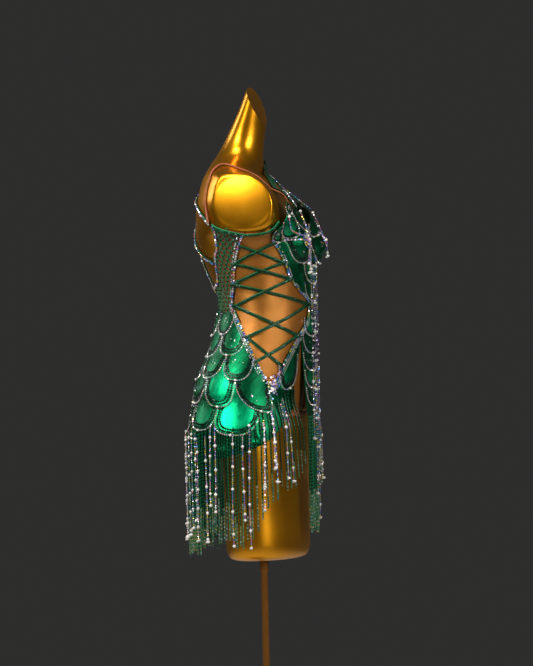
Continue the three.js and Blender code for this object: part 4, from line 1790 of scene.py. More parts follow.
@dataclass
class SatinPanels:
    """The skirt, the front panel with its free strip, and the two cups."""

    def build(self, bench: Workshop) -> None:
        """Makes each panel with its scales, creases and stones.

        Args:
            bench: the workshop.
        """
        self.skirt(bench)
        self.front(bench)
        for name, sign in (("right", 1), ("left", -1)):
            self.cup(bench, name, sign)

    def panel(self, bench: Workshop, name: str, node: str, angle: Array, z: Array, surface: Surface,
              foot: float, pattern: ScalePattern, creases: Sequence[Crease], seed: int) -> None:
        """One satin panel and what is sewn on it.

        Args:
            bench: the workshop.
            name: the panel's name.
            node: the frame node that it stands for.
            angle: grid of angles.
            z: grid of heights.
            surface: where the cloth lies.
            foot: the cloth's inner face.
            pattern: its scales.
            creases: its folds.
            seed: seed of the random draws.
        """
        rise, tone = pattern.relief(angle, z)
        for crease in creases:
            fold = crease.relief(angle, z, pattern.per_degree)
            # creases add painted highlight on their crests and painted shade in their troughs
            rise, tone = rise + fold, tone + 0.14 * fold
        grid = surface(angle, z, foot + np.maximum(rise, -0.4))
        cloth = cloth_sheet(f"{name}_satin", grid, bench.looks["emerald_satin"], SATIN, painted_light_tint(tone))
        bench.fit(cloth, [node])
        clear, dark, pearls = pattern.trim(bench, seed, surface, foot + SATIN)
        extras = [
            bench.fit(clear.build(f"{name}_edge_stones", bench.looks["cut_stones"])),
            bench.fit(dark.build(f"{name}_dark_stones", bench.looks["dark_stones"])),
            bench.fit(pearls.build(f"{name}_pearls", bench.looks["pearls"], True)),
        ]

    def skirt(self, bench: Workshop) -> None:
        """The skirt panel, from one side of the front slit round to the other.

        Args:
            bench: the workshop.
        """
        columns, rows = 300, 66
        angle = np.linspace(21.25, 338.75, columns)[None].repeat(rows, 0)
        folded = np.minimum(angle, 360 - angle)
        share = np.linspace(0, 1, rows)[:, None]
        hem, top = SKIRT_EDGES.at("hem", folded), SKIRT_EDGES.at("top", folded) - 0.3
        z = hem + (top - hem) * share
        self.panel(bench, "skirt", "skirt_panel", angle, z, bench.figure.skirt, OUTER_LAYER,
                   skirt_scales(), SKIRT_CREASES, 10)

    def front(self, bench: Workshop) -> None:
        """The front panel, from under the cups to the foot of the free strip.

        Args:
            bench: the workshop.
        """
        rows, columns = 180, 46
        z = np.linspace(STRIP_FOOT, STRIP_TOP, rows)[:, None].repeat(columns, 1)
        edge = FRONT_PANEL_EDGE.at("angle", z) - 0.25
        angle = np.linspace(-1, 1, columns)[None] * edge
        self.panel(bench, "front", "front_panel", angle, z, bench.figure.strip, OUTER_LAYER,
                   strip_scales(), FRONT_CREASES, 20)

    def cup(self, bench: Workshop, name: str, sign: int) -> None:
        """One bust cup, whose top edge stands off the chest.

        Args:
            bench: the workshop.
            name: right or left.
            sign: 1 on the wearer's right, -1 on the left.
        """
        rows, columns = 76, 56

        z = np.linspace(1177.6, 1291, rows)[:, None].repeat(columns, 1)
        inner, outer = CUP_EDGES.at("inner", z), CUP_EDGES.at("outer", z)
        angle = sign * (inner + (outer - inner) * np.linspace(0, 1, columns)[None])
        creases = [Crease(sign * c.angle, c.z, c.slant if sign > 0 else 180 - c.slant, c.length,
                          c.breadth, c.height) for c in CUP_CREASES]
        self.panel(bench, f"cup_{name}", f"cup_{name}", angle, z, bench.figure.cup, OUTER_LAYER + 0.4,
                   cup_scales(sign), creases, 30 + sign)


@dataclass
class NudeHalves:
    """The nude stretch mesh at both sides, and the elastic that ends it at the slit."""

    def build(self, bench: Workshop) -> None:
        """Both halves and the hem elastic.

        Args:
            bench: the workshop.
        """
        rows, columns = 72, 36
        z = np.linspace(898.3, 1235, rows)[:, None].repeat(columns, 1)
        share = np.linspace(0, 1, columns)[None]
        near = OPENING_FRONT.at("angle", z) - NUDE_SPREAD.at("front", z)
        far = OPENING_BACK.at("angle", z) + NUDE_SPREAD.at("back", z)
        angle = near + (far - near) * share
        for name, sign in (("right", 1), ("left", -1)):
            pull = 0.22 * np.sin(angle / 5.5 + z / 21) * np.sin(z / 47)
            grid = bench.figure.cloth(sign * angle, z, INNER_LAYER + 0.25 + pull)
            cloth = cloth_sheet(f"nude_mesh_{name}", grid, bench.looks["nude_mesh"], 0.5)
            bench.fit(cloth, [f"nude_side_{name}"])
        angle = np.linspace(0, 360, 241)[None, :-1].repeat(5, 0)
        z = np.linspace(890, 898, 5)[:, None].repeat(240, 1)
        bulge = np.array([0, 0.5, 0.6, 0.5, 0])[:, None]
        grid = bench.figure.cloth(angle, z, INNER_LAYER + bulge)
        band = cloth_sheet("nude_hem_elastic", grid, bench.looks["nude_elastic"], 0.8, ring=True)
        bench.fit(band, ["nude_hem_band"])


@dataclass
class NetHalves:
    """The diamond net over the back and the sides of the ribs, on its nude backing, darkened with painted
    shade.
    """

    cell_width: float = 13.0
    cell_height: float = 15.6
    hole: float = 0.29

    def outline(self, count: int = 60) -> Array:
        """The half's edge as angle and height, on the wearer's right.

        Args:
            count: how many.

        Returns:
            Rows of angle and height.
        """
        row = np.linspace(0, NET_TOP_ROW, count)
        near_z = NET_ROWS.at("near_z", row)
        near = np.stack([OPENING_BACK.at("angle", near_z) + 0.3, near_z], -1)
        far = np.stack([NET_ROWS.at("far_angle", row), NET_ROWS.at("far_z", row)], -1)
        return np.concatenate([near, far[::-1]])

    def within(self, places: Array) -> Array:
        """Whether flat places lie inside the outline.

        Args:
            places: places to test.

        Returns:
            One answer for each place.
        """
        edge = self.outline() * [WAIST_MM_PER_DEGREE, 1]
        ahead = np.roll(edge, -1, 0)
        x, y = places[:, :1], places[:, 1:]
        crosses = (edge[:, 1] > y) != (ahead[:, 1] > y)
        rise = np.where(ahead[:, 1] == edge[:, 1], 1e-9, ahead[:, 1] - edge[:, 1])
        at = edge[:, 0] + (y - edge[:, 1]) * (ahead[:, 0] - edge[:, 0]) / rise
        return (crosses & (x < at)).sum(1) % 2 == 1

    def build(self, bench: Workshop) -> None:
        """Both halves: backing, net, and a dark stone on each knot.

        Args:
            bench: the workshop.
        """
        w, h = self.cell_width, self.cell_height
        i, j = np.meshgrid(np.arange(20, 70), np.arange(136, 162))
        nodes = np.stack([i.ravel() * w / 2, j.ravel() * h / 2], -1)
        odd = (i + j).ravel() % 2 == 1
        centres, knots = nodes[~odd], nodes[odd]
        centres, knots = centres[self.within(centres)], knots[self.within(knots)]
        turn = np.radians(np.arange(8) * 45)
        diamond = np.array([(1, 0), (0.5, 0.5), (0, 1), (-0.5, 0.5), (-1, 0), (-0.5, -0.5), (0, -1),
                            (0.5, -0.5)]) * [w / 2, h / 2]
        hole = np.stack([np.cos(turn) * w, np.sin(turn) * h], -1) * self.hole
        cell = np.concatenate([diamond, hole])
        quads = np.array([(k, (k + 1) % 8, 8 + (k + 1) % 8, 8 + k) for k in range(8)])
        flat = (centres[:, None] + cell[None]).reshape(-1, 2)
        faces = (np.arange(len(centres))[:, None, None] * 16 + quads).reshape(-1, 4)
        flat, index = np.unique(np.round(flat, 3), axis=0, return_inverse=True)
        faces = index.ravel()[faces]
        for name, sign in (("right", 1), ("left", -1)):
            self.half(bench, name, sign, flat, faces, knots)

    def half(self, bench: Workshop, name: str, sign: int, flat: Array, faces: Array,
             knots: Array) -> None:
        """One half of the net.

        Args:
            bench: the workshop.
            name: right or left.
            sign: 1 on the wearer's right, -1 on the left.
            flat: the net laid flat.
            faces: its faces.
            knots: where its cords cross.
        """
        figure = bench.figure
        angle = sign * flat[:, 0] / WAIST_MM_PER_DEGREE
        points = figure.cloth(angle, flat[:, 1], INNER_LAYER + 1.3)
        net = write_mesh(f"net_{name}_cords", points, [faces[:, ::sign]], bench.looks["net_cord"],
                         uv=flat * MM)
        shell = net.modifiers.new("thickness", "SOLIDIFY")
        shell.thickness, shell.offset = 0.9 * MM, 0.0
        smooth = net.modifiers.new("round_holes", "SUBSURF")
        smooth.levels = smooth.render_levels = 1
        bench.fit(net)
        heap = bench.stones(40 + sign)
        angle = sign * knots[:, 0] / WAIST_MM_PER_DEGREE
        places = figure.cloth(angle, knots[:, 1], INNER_LAYER + 1.7)
        heap.scatter(CUT_STONE, places, figure.normal(angle, knots[:, 1]), 1.9,
                     Glass.DARK)
        stones = bench.fit(heap.build(f"net_{name}_stones", bench.looks["dark_stones"]))
        row = np.linspace(0, NET_TOP_ROW, 50)[:, None].repeat(40, 1)
        near_z = NET_ROWS.at("near_z", row)
        near, share = OPENING_BACK.at("angle", near_z) + 0.3, np.linspace(0, 1, 40)[None]
        angle = sign * (near + (NET_ROWS.at("far_angle", row) - near) * share)
        z = near_z + (NET_ROWS.at("far_z", row) - near_z) * share
        grid = figure.cloth(angle, z, INNER_LAYER)
        # the backing's darker colour is painted shade under the net
        backing = cloth_sheet(f"net_{name}_backing", grid, bench.looks["net_backing_painted_shade"], 0.4)
        bench.fit(backing, [f"net_{name}"])


# ---------------------------------------------------------------- straps, bands and laces
def ribbon(line: Array, normals: Array, widths: Array, profile: Array) -> Array:
    """A strap's grid.

    Args:
        line: its centre line.
        normals: the way it faces at each point.
        widths: its width there.
        profile: height of its cross-section from edge to edge, one for each column.

    Returns:
        Rows by columns by 3 points.
    """
    tangent = unit(np.gradient(line, axis=0))
    normals = unit(normals - tangent * (normals * tangent).sum(-1, keepdims=True))
    side = np.cross(normals, tangent)
    across = np.linspace(-0.5, 0.5, profile.shape[-1])
    return (
        line[:, None]
        + side[:, None] * (across[None] * widths[:, None])[..., None]
        + normals[:, None] * profile[..., None]
    )


@dataclass
class Straps:
    """The green straps, the nude shoulder strap and the two underarm bands."""

    def route(self, bench: Workshop, name: str, count: int) -> tuple[Array, Array, Array]:
        """Centre line, normals and widths of a strap.

        Args:
            bench: the workshop.
            name: name of the piece.
            count: how many.

        Returns:
            Points, normals and widths.
        """
        figure, rows = bench.figure, []
        for face, across, z, lift, width in STRAP_ROUTES[name]:
            angle = figure.angle_across(face, across, z)
            place, normal = figure.cloth(angle, z, lift), figure.normal(angle, z)
            rows.append([*place, *normal, width])
        found = spline(np.array(rows), count)
        return found[:, :3], unit(found[:, 3:6]), found[:, 6]

    def build(self, bench: Workshop) -> None:
        """Every strap and its stones.

        Args:
            bench: the workshop.
        """
        for name in STRAP_ROUTES:
            line, normals, widths = self.route(bench, name, 120)
            if name == "front_strap_wide":
                self.gathered(bench, name, line, normals, widths)
            elif name == "nude_shoulder_strap":
                profile = 0.5 + 0.4 * np.cos(np.linspace(-np.pi, np.pi, 7))[None].repeat(120, 0)
                grid = ribbon(line, normals, widths, profile)
                strap = cloth_sheet("nude_shoulder_elastic", grid, bench.looks["nude_elastic"], 0.8)
                bench.fit(strap, [name])
            else:
                self.jewelled(bench, name, line, normals, widths)
        for name, sign in (("right", 1), ("left", -1)):
            self.underarm(bench, name, sign)

    def gathered(self, bench: Workshop, name: str, line: Array, normals: Array, widths: Array) -> None:
        """The wide front strap, in soft lengthwise folds that run together at the shoulder.

        Args:
            bench: the workshop.
            name: name of the piece.
            line: its centre line.
            normals: the way it faces.
            widths: its widths.
        """
        across = np.linspace(0, 1, 41)[None]
        down = np.linspace(0, 1, 120)[:, None]
        folds = 0.5 - 0.5 * np.cos(2 * np.pi * (5 * across + 0.35 * np.sin(5 * down) + 0.4 * across * down))
        height = (0.6 + 2.2 * (widths / 40)[:, None]) * folds * (0.8 + 0.2 * np.sin(9 * across + 7 * down))
        grid = ribbon(line, normals, widths, height)
        # painted highlights on the fold crests, fainter towards the strap's back end
        tone = painted_light_tint(0.16 + 0.4 * folds * (1 - 0.5 * down))
        strap = cloth_sheet(f"{name}_satin", grid, bench.looks["strap_satin"], 0.8, tone)
        bench.fit(strap, [name])
        heap = bench.stones(51)
        hook = np.array([[0.02, -0.42], [0.1, -0.1], [0.16, 0.14], [0.1, 0.36], [0.03, 0.2]])
        side = np.cross(normals, unit(np.gradient(line, axis=0)))
        at = (hook[:, 0] * 119).astype(int)
        path = line[at] + side[at] * (hook[:, 1] * widths[at])[:, None] + normals[at] * 4.0
        places, facing = evenly(spline(path, 60), 3.6, spline(normals[at], 60))
        heap.scatter(CUT_STONE, places, facing, 1.9, Glass.CLEAR)
        trim = bench.fit(heap.build(f"{name}_stones", bench.looks["cut_stones"]))

    def jewelled(self, bench: Workshop, name: str, line: Array, normals: Array, widths: Array) -> None:
        """A narrow green strap with a row of stones.

        Args:
            bench: the workshop.
            name: name of the piece.
            line: its centre line.
            normals: the way it faces.
            widths: its widths.
        """
        crown = np.sqrt(np.clip(1 - np.linspace(-1, 1, 9) ** 2, 0, 1))[None].repeat(len(line), 0)
        # painted highlight along the strap's crown
        strap = cloth_sheet(f"{name}_tape", ribbon(line, normals, widths, crown),
                            bench.looks["strap_satin"], 1.0, painted_light_tint(0.3 + 0.25 * crown))
        bench.fit(strap, [name])
        heap = bench.stones(60 + len(name))
        places, facing = evenly(line, 5.0, normals)
        count = len(places) if name.startswith("back") else int(len(places) * 0.55)
        places, facing = places[:count], facing[:count]
        side = unit(np.cross(facing, np.gradient(places, axis=0)))
        shift = side * heap.rng.uniform(-1.6, 1.6, (count, 1))
        radius = heap.rng.choice([1.5, 1.9, 2.5], count, p=[0.4, 0.4, 0.2])
        heap.scatter(CUT_STONE, places + facing * 1.9 + shift, facing, radius,
                     Glass.RAINBOW)
        bench.fit(heap.build(f"{name}_stones", bench.looks["cut_stones"]))

    def underarm(self, bench: Workshop, name: str, sign: int) -> None:
        """The band under an arm: green ribbon with a row of dark stones.

        Args:
            bench: the workshop.
            name: right or left.
            sign: 1 on the wearer's right, -1 on the left.
        """
        figure, data = bench.figure, UNDERARM_BAND
        angle, z, lift = (data.column(label) for label in data.columns)
        line, normals = figure.guide(sign * angle, z, lift, 90)
        crown = 0.8 * np.sqrt(np.clip(1 - np.linspace(-1, 1, 9) ** 2, 0, 1))[None].repeat(90, 0)
        grid = ribbon(line, normals, np.full(90, 8.0), crown)
        band = cloth_sheet(f"underarm_ribbon_{name}", grid, bench.looks["green_ribbon"], 0.9)
        bench.fit(band, [f"underarm_band_{name}"])
        heap = bench.stones(70 + sign)
        places, facing = evenly(line + normals * 1.8, 4.5, normals)
        heap.scatter(CUT_STONE, places, facing, 1.8, Glass.DARK)
        bench.fit(heap.build(f"underarm_stones_{name}", bench.looks["dark_stones"]))


@dataclass
class Lacing:
    """Two laces across each side opening, set with dark stones."""

    width: float = 6.2
    depth: float = 2.0
    rise: float = 3.4

    def build(self, bench: Workshop) -> None:
        """All four laces.

        Args:
            bench: the workshop.
        """
        for side, sign in (("right", 1), ("left", -1)):
            for letter, from_back, over in (("a", True, False), ("b", False, True)):
                self.lace(bench, side, sign, letter, from_back, over)

    def lace(self, bench: Workshop, side: str, sign: int, letter: str, from_back: bool,
             over: bool) -> None:
        """One lace, stretch by stretch between its anchors.

        Args:
            bench: the workshop.
            side: right or left.
            sign: 1 for the right.
            letter: the lace's letter.
            from_back: whether its first anchor is on the opening's back edge.
            over: whether it passes over the other lace.
        """
        heap, stones = bench.stones(80), bench.stones(81 + sign)
        anchors = [LACE_BACK[i] if (i % 2 == 0) == from_back else LACE_FRONT[i] for i in range(6)]
        for start, end in zip(anchors, anchors[1:]):
            t = np.linspace(-0.02, 1.02, 30)
            angle = sign * (start[0] + (end[0] - start[0]) * t)
            z = start[1] + (end[1] - start[1]) * t
            hump = self.rise * np.exp(-(((t - 0.5) / 0.11) ** 2)) if over else 0 * t
            end_lift = 2.6 * (np.abs(t - 0.5) * 2) ** 6
            line = bench.figure.cloth(angle, z, ON_MESH + 0.6 + hump + end_lift)
            normals = bench.figure.normal(angle, z)
            self.strip(heap, line, normals)
            places, facing = evenly(line + normals * (self.depth * 0.6), 5.4, normals)
            stones.scatter(CUT_STONE, places, facing, 2.2, Glass.DARK)
        name = f"lacing_{side}_{letter}"
        bench.fit(heap.build(f"{name}_ribbon", bench.looks["green_ribbon"], True), [name])
        bench.fit(stones.build(f"{name}_stones", bench.looks["dark_stones"]))

    def strip(self, heap: Heap, line: Array, normals: Array) -> None:
        """One stretch of flat-oval ribbon.

        Args:
            heap: where the pieces go.
            line: its centre line.
            normals: the way it faces.
        """
        sides = 10
        tangent = unit(np.gradient(line, axis=0))
        side = unit(np.cross(normals, tangent))
        turn = 2 * np.pi * np.arange(sides) / sides
        ring = (
            side[:, None] * (np.cos(turn) * self.width / 2)[None, :, None]
            + normals[:, None] * (np.sin(turn) * self.depth / 2)[None, :, None]
        )
        points = (line[:, None] + ring).reshape(-1, 3)
        ends = np.array([np.arange(sides)[::-1], np.arange(sides) + (len(line) - 1) * sides])
        heap.add(points, (grid_faces(len(line), sides, ring=True), ends))


# ---------------------------------------------------------------- jewels
@dataclass
class Jewels:
    """The brooches on the cups, the stones round the openings, and the strands that hang in front."""

    angle: float = 25.0
    z: float = 1219.0
    lift: float = 6.6

    def build(self, bench: Workshop) -> None:
        """All the jewels.

        Args:
            bench: the workshop.
        """
        for name, sign in (("right", 1), ("left", -1)):
            self.brooch(bench, name, sign)
            self.openings(bench, name, sign)
        self.strands(bench)

    def brooch(self, bench: Workshop, name: str, sign: int) -> None:
        """A brooch, its two chains and the short strands below it.

        Args:
            bench: the workshop.
            name: right or left.
            sign: 1 on the wearer's right, -1 on the left.
        """
        figure = bench.figure
        stones, pearls = bench.stones(90 + sign), bench.stones(93 + sign)
        normal = figure.normal(np.array([sign * self.angle]), np.array([self.z]))
        centre = figure.cloth(np.array([sign * self.angle]), np.array([self.z]), self.lift)
        side = unit(np.cross([[0.0, 0, 1]], normal))
        up = np.cross(normal, side)
        for count, reach, radius, raised in ((8, 5.6, 2.6, 2.2), (14, 10.5, 2.3, 0.8), (18, 15.0, 1.8, -0.6)):
            turn = (2 * np.pi * np.arange(count) / count)[:, None]
            places = centre + reach * (np.cos(turn) * side + np.sin(turn) * up) + raised * normal
            facing = np.repeat(normal, count, 0)
            stones.scatter(CUT_STONE, places, facing, radius, Glass.RAINBOW)
        pearls.scatter(ROUND_PEARL, centre + 4.0 * normal, normal, 3.6, Glass.PEARL)
        self.chain(bench, stones, pearls, sign, ((42, 1262), (34, 1238), (27, 1226)))
        self.chain(bench, stones, pearls, sign, ((14, 1262), (18, 1240), (23, 1226)))
        self.chain(bench, stones, pearls, sign, ((46, 1224), (38, 1222), (30, 1221)))
        for number, length in enumerate((34, 52, 44) if sign > 0 else (14, 22, 18)):
            start = centre[0] + side[0] * (number - 1) * 4 - up[0] * 8 + normal[0] * 2.5
            down = start - np.array([[0, 0, step] for step in np.arange(0, length, 3.3)])
            facing = np.repeat(normal, len(down), 0)
            stones.scatter(CUT_STONE, down, facing, 1.6, Glass.RAINBOW)
            end = down[-1:] - [0, 0, 4.0]
            pearls.scatter(CUT_DROP if number == 1 else ROUND_PEARL, end, facing[:1], 3.2,
                           Glass.PEARL)
        bench.fit(stones.build(f"brooch_{name}_stones", bench.looks["cut_stones"]),
                  [f"brooch_{name}"])
        bench.fit(pearls.build(f"brooch_{name}_pearls", bench.looks["pearls"], True))

    def chain(self, bench: Workshop, stones: Heap, pearls: Heap, sign: int,
              stops: Sequence[tuple[float, float]]) -> None:
        """A row of stones between points on the cup.

        Args:
            bench: the workshop.
            stones: heap for stones.
            pearls: heap for pearls.
            sign: 1 on the wearer's right, -1 on the left.
            stops: points on the cup, from the end.
        """
        line = spline(np.array([[sign * a * CUP_MM_PER_DEGREE, z, 0.0] for a, z in stops]), 30)
        angle, z = line[:, 0] / CUP_MM_PER_DEGREE, line[:, 1]
        points = bench.figure.cup(angle, z, self.lift + 2.6)
        places, facing = evenly(points, 4.2, bench.figure.normal(angle, z))
        stones.scatter(CUT_STONE, places, facing, 2.0, Glass.RAINBOW)
        pearls.scatter(ROUND_PEARL, places[:1] + facing[:1] * 1.5, facing[:1], 3.0,
                       Glass.PEARL)

    def openings(self, bench: Workshop, name: str, sign: int) -> None:
        """Large stones along a side opening's two edges and along the open back's edge.

        Args:
            bench: the workshop.
            name: right or left.
            sign: 1 on the wearer's right, -1 on the left.
        """
        figure, heap, pearls = bench.figure, bench.stones(100 + sign), bench.stones(103 + sign)
        lines = [(table.column("angle") + shift, table.column("z"), ON_MESH + 1.2)
                 for table, shift in ((OPENING_FRONT, -1.2), (OPENING_BACK, 1.2))]
        row = np.linspace(0, NET_TOP_ROW, 40)
        lines.append((NET_ROWS.at("far_angle", row) - 1.5, NET_ROWS.at("far_z", row), 4.0))
        for number, (angle, z, lift) in enumerate(lines):
            z = np.minimum(z, (1222, 1232, 1260)[number])
            line, normals = figure.guide(sign * angle, z, lift, 160)
            places, facing = evenly(line, 5.4, normals)
            radius = heap.rng.choice([2.0, 2.5, 3.0], len(places), p=[0.3, 0.45, 0.25])
            heap.scatter(CUT_STONE, places, facing, radius, Glass.RAINBOW)
            for step in (1, 2) if number < 2 else ():
                low = z < (1300 if step == 1 else 1085)
                shift = (2.3 if number else -2.3) * step
                self.beside(bench, heap, sign * angle[low], z[low], lift, shift)
        spots = heap.rng.normal([47, 948], [2.6, 7.5], (64, 2))
        places = figure.cloth(sign * spots[:, 0], spots[:, 1], OUTER_LAYER + heap.rng.uniform(1, 3.5, 64))
        facing = figure.normal(sign * spots[:, 0], spots[:, 1])
        heap.scatter(CUT_STONE, places, facing, heap.rng.uniform(1.6, 3.0, 64),
                     Glass.RAINBOW)
        pearls.scatter(ROUND_PEARL, places[::9] + facing[::9], facing[::9], 3.0,
                       Glass.PEARL)
        bench.fit(heap.build(f"opening_{name}_stones", bench.looks["cut_stones"]))
        bench.fit(pearls.build(f"opening_{name}_pearls", bench.looks["pearls"], True))

    def beside(self, bench: Workshop, heap: Heap, angle: Array, z: Array, lift: float,
               shift: float) -> None:
        """A second, finer and patchy row next to an opening's edge.

        Args:
            bench: the workshop.
            heap: where the pieces go.
            angle: degrees round the figure.
            z: heights.
            lift: distance from the figure.
            shift: degrees away from the edge.
        """
        angle = angle + np.sign(angle) * shift
        line, normals = bench.figure.guide(angle, z, lift + 1.2, 160)
        places, facing = evenly(line, 4.2, normals)
        keep = heap.rng.random(len(places)) < np.where(places[:, 2] < 1085, 0.92, 0.55)
        places, facing = places[keep], facing[keep]
        heap.scatter(CUT_STONE, places, facing, 1.6, Glass.CLEAR)

    def strands(self, bench: Workshop) -> None:
        """Long strands that hang freely from under the cups, in front of the front panel.

        Args:
            bench: the workshop.
        """
        figure, stones, pearls = bench.figure, bench.stones(110), bench.stones(111)
        z = np.arange(1198, 640, -2.0)
        for x, top, foot in ((-20, 1188, 850), (-8, 1174, 745), (5, 1174, 700), (18, 1188, 800)):
            angle = np.array([figure.angle_across(Face.FRONT, float(x), float(min(h, 1230))) for h in z])
            place = figure.strip(angle, z, OUTER_LAYER + 4.2)
            y = np.minimum.accumulate(place[:, 1])
            line = np.stack([np.full(len(z), float(x)) + 1.4 * np.sin(z / 37 + x), y, z], -1)
            line = line[(z <= top) & (z >= foot)]
            places, = evenly(line, 4.2)
            facing = np.repeat([[-0.6, -0.8, 0.0]], len(places), 0)
            large = np.arange(len(places)) % 13 == 4
            small = places[~large]
            plum = (small[:, 2] > 985) & (small[:, 2] < 1080)
            colours = np.where(plum[:, None], Glass.PLUM.pick(len(small), stones.rng),
                               Glass.RAINBOW.pick(len(small), stones.rng))
            stones.scatter(CUT_STONE, small, facing[: len(small)], 1.45, colours)
            pearls.scatter(ROUND_PEARL, places[large], facing[large], 2.7,
                           Glass.PEARL)
            pearls.scatter(CUT_DROP, places[-1:] - [0, 0, 4], facing[:1], 3.2,
                           Glass.PEARL)
        bench.fit(stones.build("front_strand_stones", bench.looks["cut_stones"]))
        bench.fit(pearls.build("front_strand_pearls", bench.looks["pearls"], True))


# ---------------------------------------------------------------- beaded fringe
@dataclass
class Fringe:
    """Strings of beads from the skirt's hem and from the foot of the front strip."""

    pitch: float = 4.9
    bead: float = 3.3
    sides: int = 5

    def build(self, bench: Workshop) -> None:
        """The strings in three sections round the skirt, the strip's strings, and clear strands.

        Args:
            bench: the workshop.
        """
        rng = np.random.default_rng(7)
        heaps = {name: Heap(np.random.default_rng(k)) for k, name in enumerate(("right", "back", "left"))}
        step = self.pitch / HIP_MM_PER_DEGREE
        for number, angle in enumerate(np.arange(21.6, 338.6, step)):
            folded = min(angle, 360 - angle)
            if folded < SPARSE_TO and number % 2:
                continue
            name = "right" if angle < 120 else "left" if angle > 240 else "back"
            self.string(bench.figure, heaps[name], float(angle), folded, rng)
        for name, heap in heaps.items():
            replaces = ["fringe_skirt"] if name == "back" else []
            piece = heap.build(f"fringe_{name}_beads", bench.looks["dark_stones"], True)
            bench.fit(piece, replaces)
        strip = bench.stones(120)
        for angle in np.linspace(-12.4, 12.4, 15):
            self.front_string(bench.figure, strip, float(angle), rng)
        piece = strip.build("fringe_front_beads", bench.looks["dark_stones"], True)
        bench.fit(piece, ["fringe_front"])
        self.clear_strands(bench, rng)

    def string(self, figure: Figure, heap: Heap, angle: float, folded: float,
               rng: np.random.Generator) -> None:
        """One string from the hem.

        Args:
            figure: the figure.
            heap: where the pieces go.
            angle: degrees round the figure.
            folded: its angle from the front, 0 to 180.
            rng: random draws.
        """
        head, foot = FRINGE.at("head", folded), FRINGE.at("foot", folded)
        foot, lean = foot + rng.uniform(-12, 12), FRINGE.at("lean", folded)
        z = np.arange(head + rng.uniform(1, 4), foot, -self.bead)
        sign = 1 if angle < 180 else -1
        drift = -sign * lean * (head - z) / 2 / HIP_MM_PER_DEGREE
        sway = rng.uniform(0.4, 1.3) * np.sin(z / rng.uniform(30, 60) + rng.uniform(0, 6)) / HIP_MM_PER_DEGREE
        around = angle + drift + sway
        lift = OUTER_LAYER + 2.4 + rng.uniform(-0.9, 1.2)
        thick = 1.15 if folded < SPARSE_TO else 1.0
        self.tube(heap, figure.skirt(around, z, lift), rng, rng.uniform(0.18, 0.42), thick)

    def front_string(self, figure: Figure, heap: Heap, angle: float, rng: np.random.Generator) -> None:
        """One string from the foot of the free strip.

        Args:
            figure: the figure.
            heap: where the pieces go.
            angle: degrees round the figure.
            rng: random draws.
        """
        z = np.arange(rng.uniform(890, 894), 666 + rng.uniform(0, 16), -self.bead)
        line = figure.strip(np.full(len(z), angle), z, OUTER_LAYER + 1.4 + rng.uniform(-0.6, 0.8))
        line[:, 0] += 1.2 * np.sin(z / 41 + angle)
        self.tube(heap, line, rng, 0.34)

    def tube(self, heap: Heap, line: Array, rng: np.random.Generator, clear: float,
             thick: float = 1.0) -> None:
        """A run of beads along a line: each has a belly and a neck.

        Args:
            heap: where the beads go.
            line: one point for each bead.
            rng: random draws.
            clear: share of the string's foot that is clear glass.
            thick: factor on the beads' radius.
        """
        count = len(line)
        foot = np.arange(count) > count * (1 - clear)
        radius = np.where(foot, 1.9, 1.8) * rng.uniform(0.92, 1.08, count) * thick
        dark, light = (np.array(colour) for _, colour in Glass.GREEN.value)
        even = (np.arange(count) % 2 == 0)[:, None]
        green = np.where(even, dark, light) * rng.uniform(0.35, 1.3)
        smoke = Glass.SMOKE.pick(count, rng) * 0.8
        colour = np.where(foot[:, None] & even, smoke, green)
        ahead = np.gradient(line, axis=0)
        stack = np.stack([line, line + ahead * 0.45], 1).reshape(-1, 3)
        radii = np.stack([radius, radius * 0.5], 1).reshape(-1)
        turn = 2 * np.pi * np.arange(self.sides) / self.sides + rng.uniform(0, 6)
        ring = np.stack([np.cos(turn), np.sin(turn), 0 * turn], -1)
        points = (stack[:, None] + ring[None] * radii[:, None, None]).reshape(-1, 3)
        tints = np.repeat(colour, 2 * self.sides, 0)
        cap = np.array([np.arange(self.sides), np.arange(self.sides)[::-1] + len(points) - self.sides])
        walls = grid_faces(len(stack), self.sides, ring=True)
        heap.add(points, (walls[:, ::-1], cap), tints)

    def clear_strands(self, bench: Workshop, rng: np.random.Generator) -> None:
        """Clear strands with pearls that lie over the green strings.

        Args:
            bench: the workshop.
            rng: random draws.
        """
        figure, stones, pearls = bench.figure, bench.stones(130), bench.stones(131)
        angles = np.concatenate([
            rng.uniform(28, 118, 13), rng.uniform(118, 160, 9), rng.uniform(160, 200, 14),
            rng.uniform(200, 242, 9), rng.uniform(242, 332, 13),
        ])
        for angle in angles:
            folded, sign = min(angle, 360 - angle), 1 if angle < 180 else -1
            head = float(FRINGE.at("head", folded)) + rng.uniform(-26, 6)
            foot = float(FRINGE.at("foot", folded)) + rng.uniform(-6, 62)
            z = np.arange(head, foot, -3.5)
            drift = -sign * float(FRINGE.at("lean", folded)) * (head - z) / 2 / HIP_MM_PER_DEGREE
            around = angle + drift + 0.5 * np.sin(z / 44 + angle)
            line = figure.skirt(around, z, OUTER_LAYER + 5.6)
            facing = figure.normal(around, np.full(len(z), 880.0))
            large = (np.arange(len(z)) + rng.integers(0, 9)) % rng.integers(10, 16) == 0
            stones.scatter(CUT_STONE, line[~large], facing[~large], 1.45,
                           Glass.RAINBOW)
            pearls.scatter(ROUND_PEARL, line[large], facing[large], rng.uniform(2.6, 3.4),
                           Glass.PEARL)
            pearls.scatter(CUT_DROP, line[-1:] - [0, 0, 4.5], facing[-1:], 3.4,
                           Glass.PEARL)
        bench.fit(stones.build("fringe_clear_stones", bench.looks["cut_stones"]))
        bench.fit(pearls.build("fringe_pearls", bench.looks["pearls"], True))


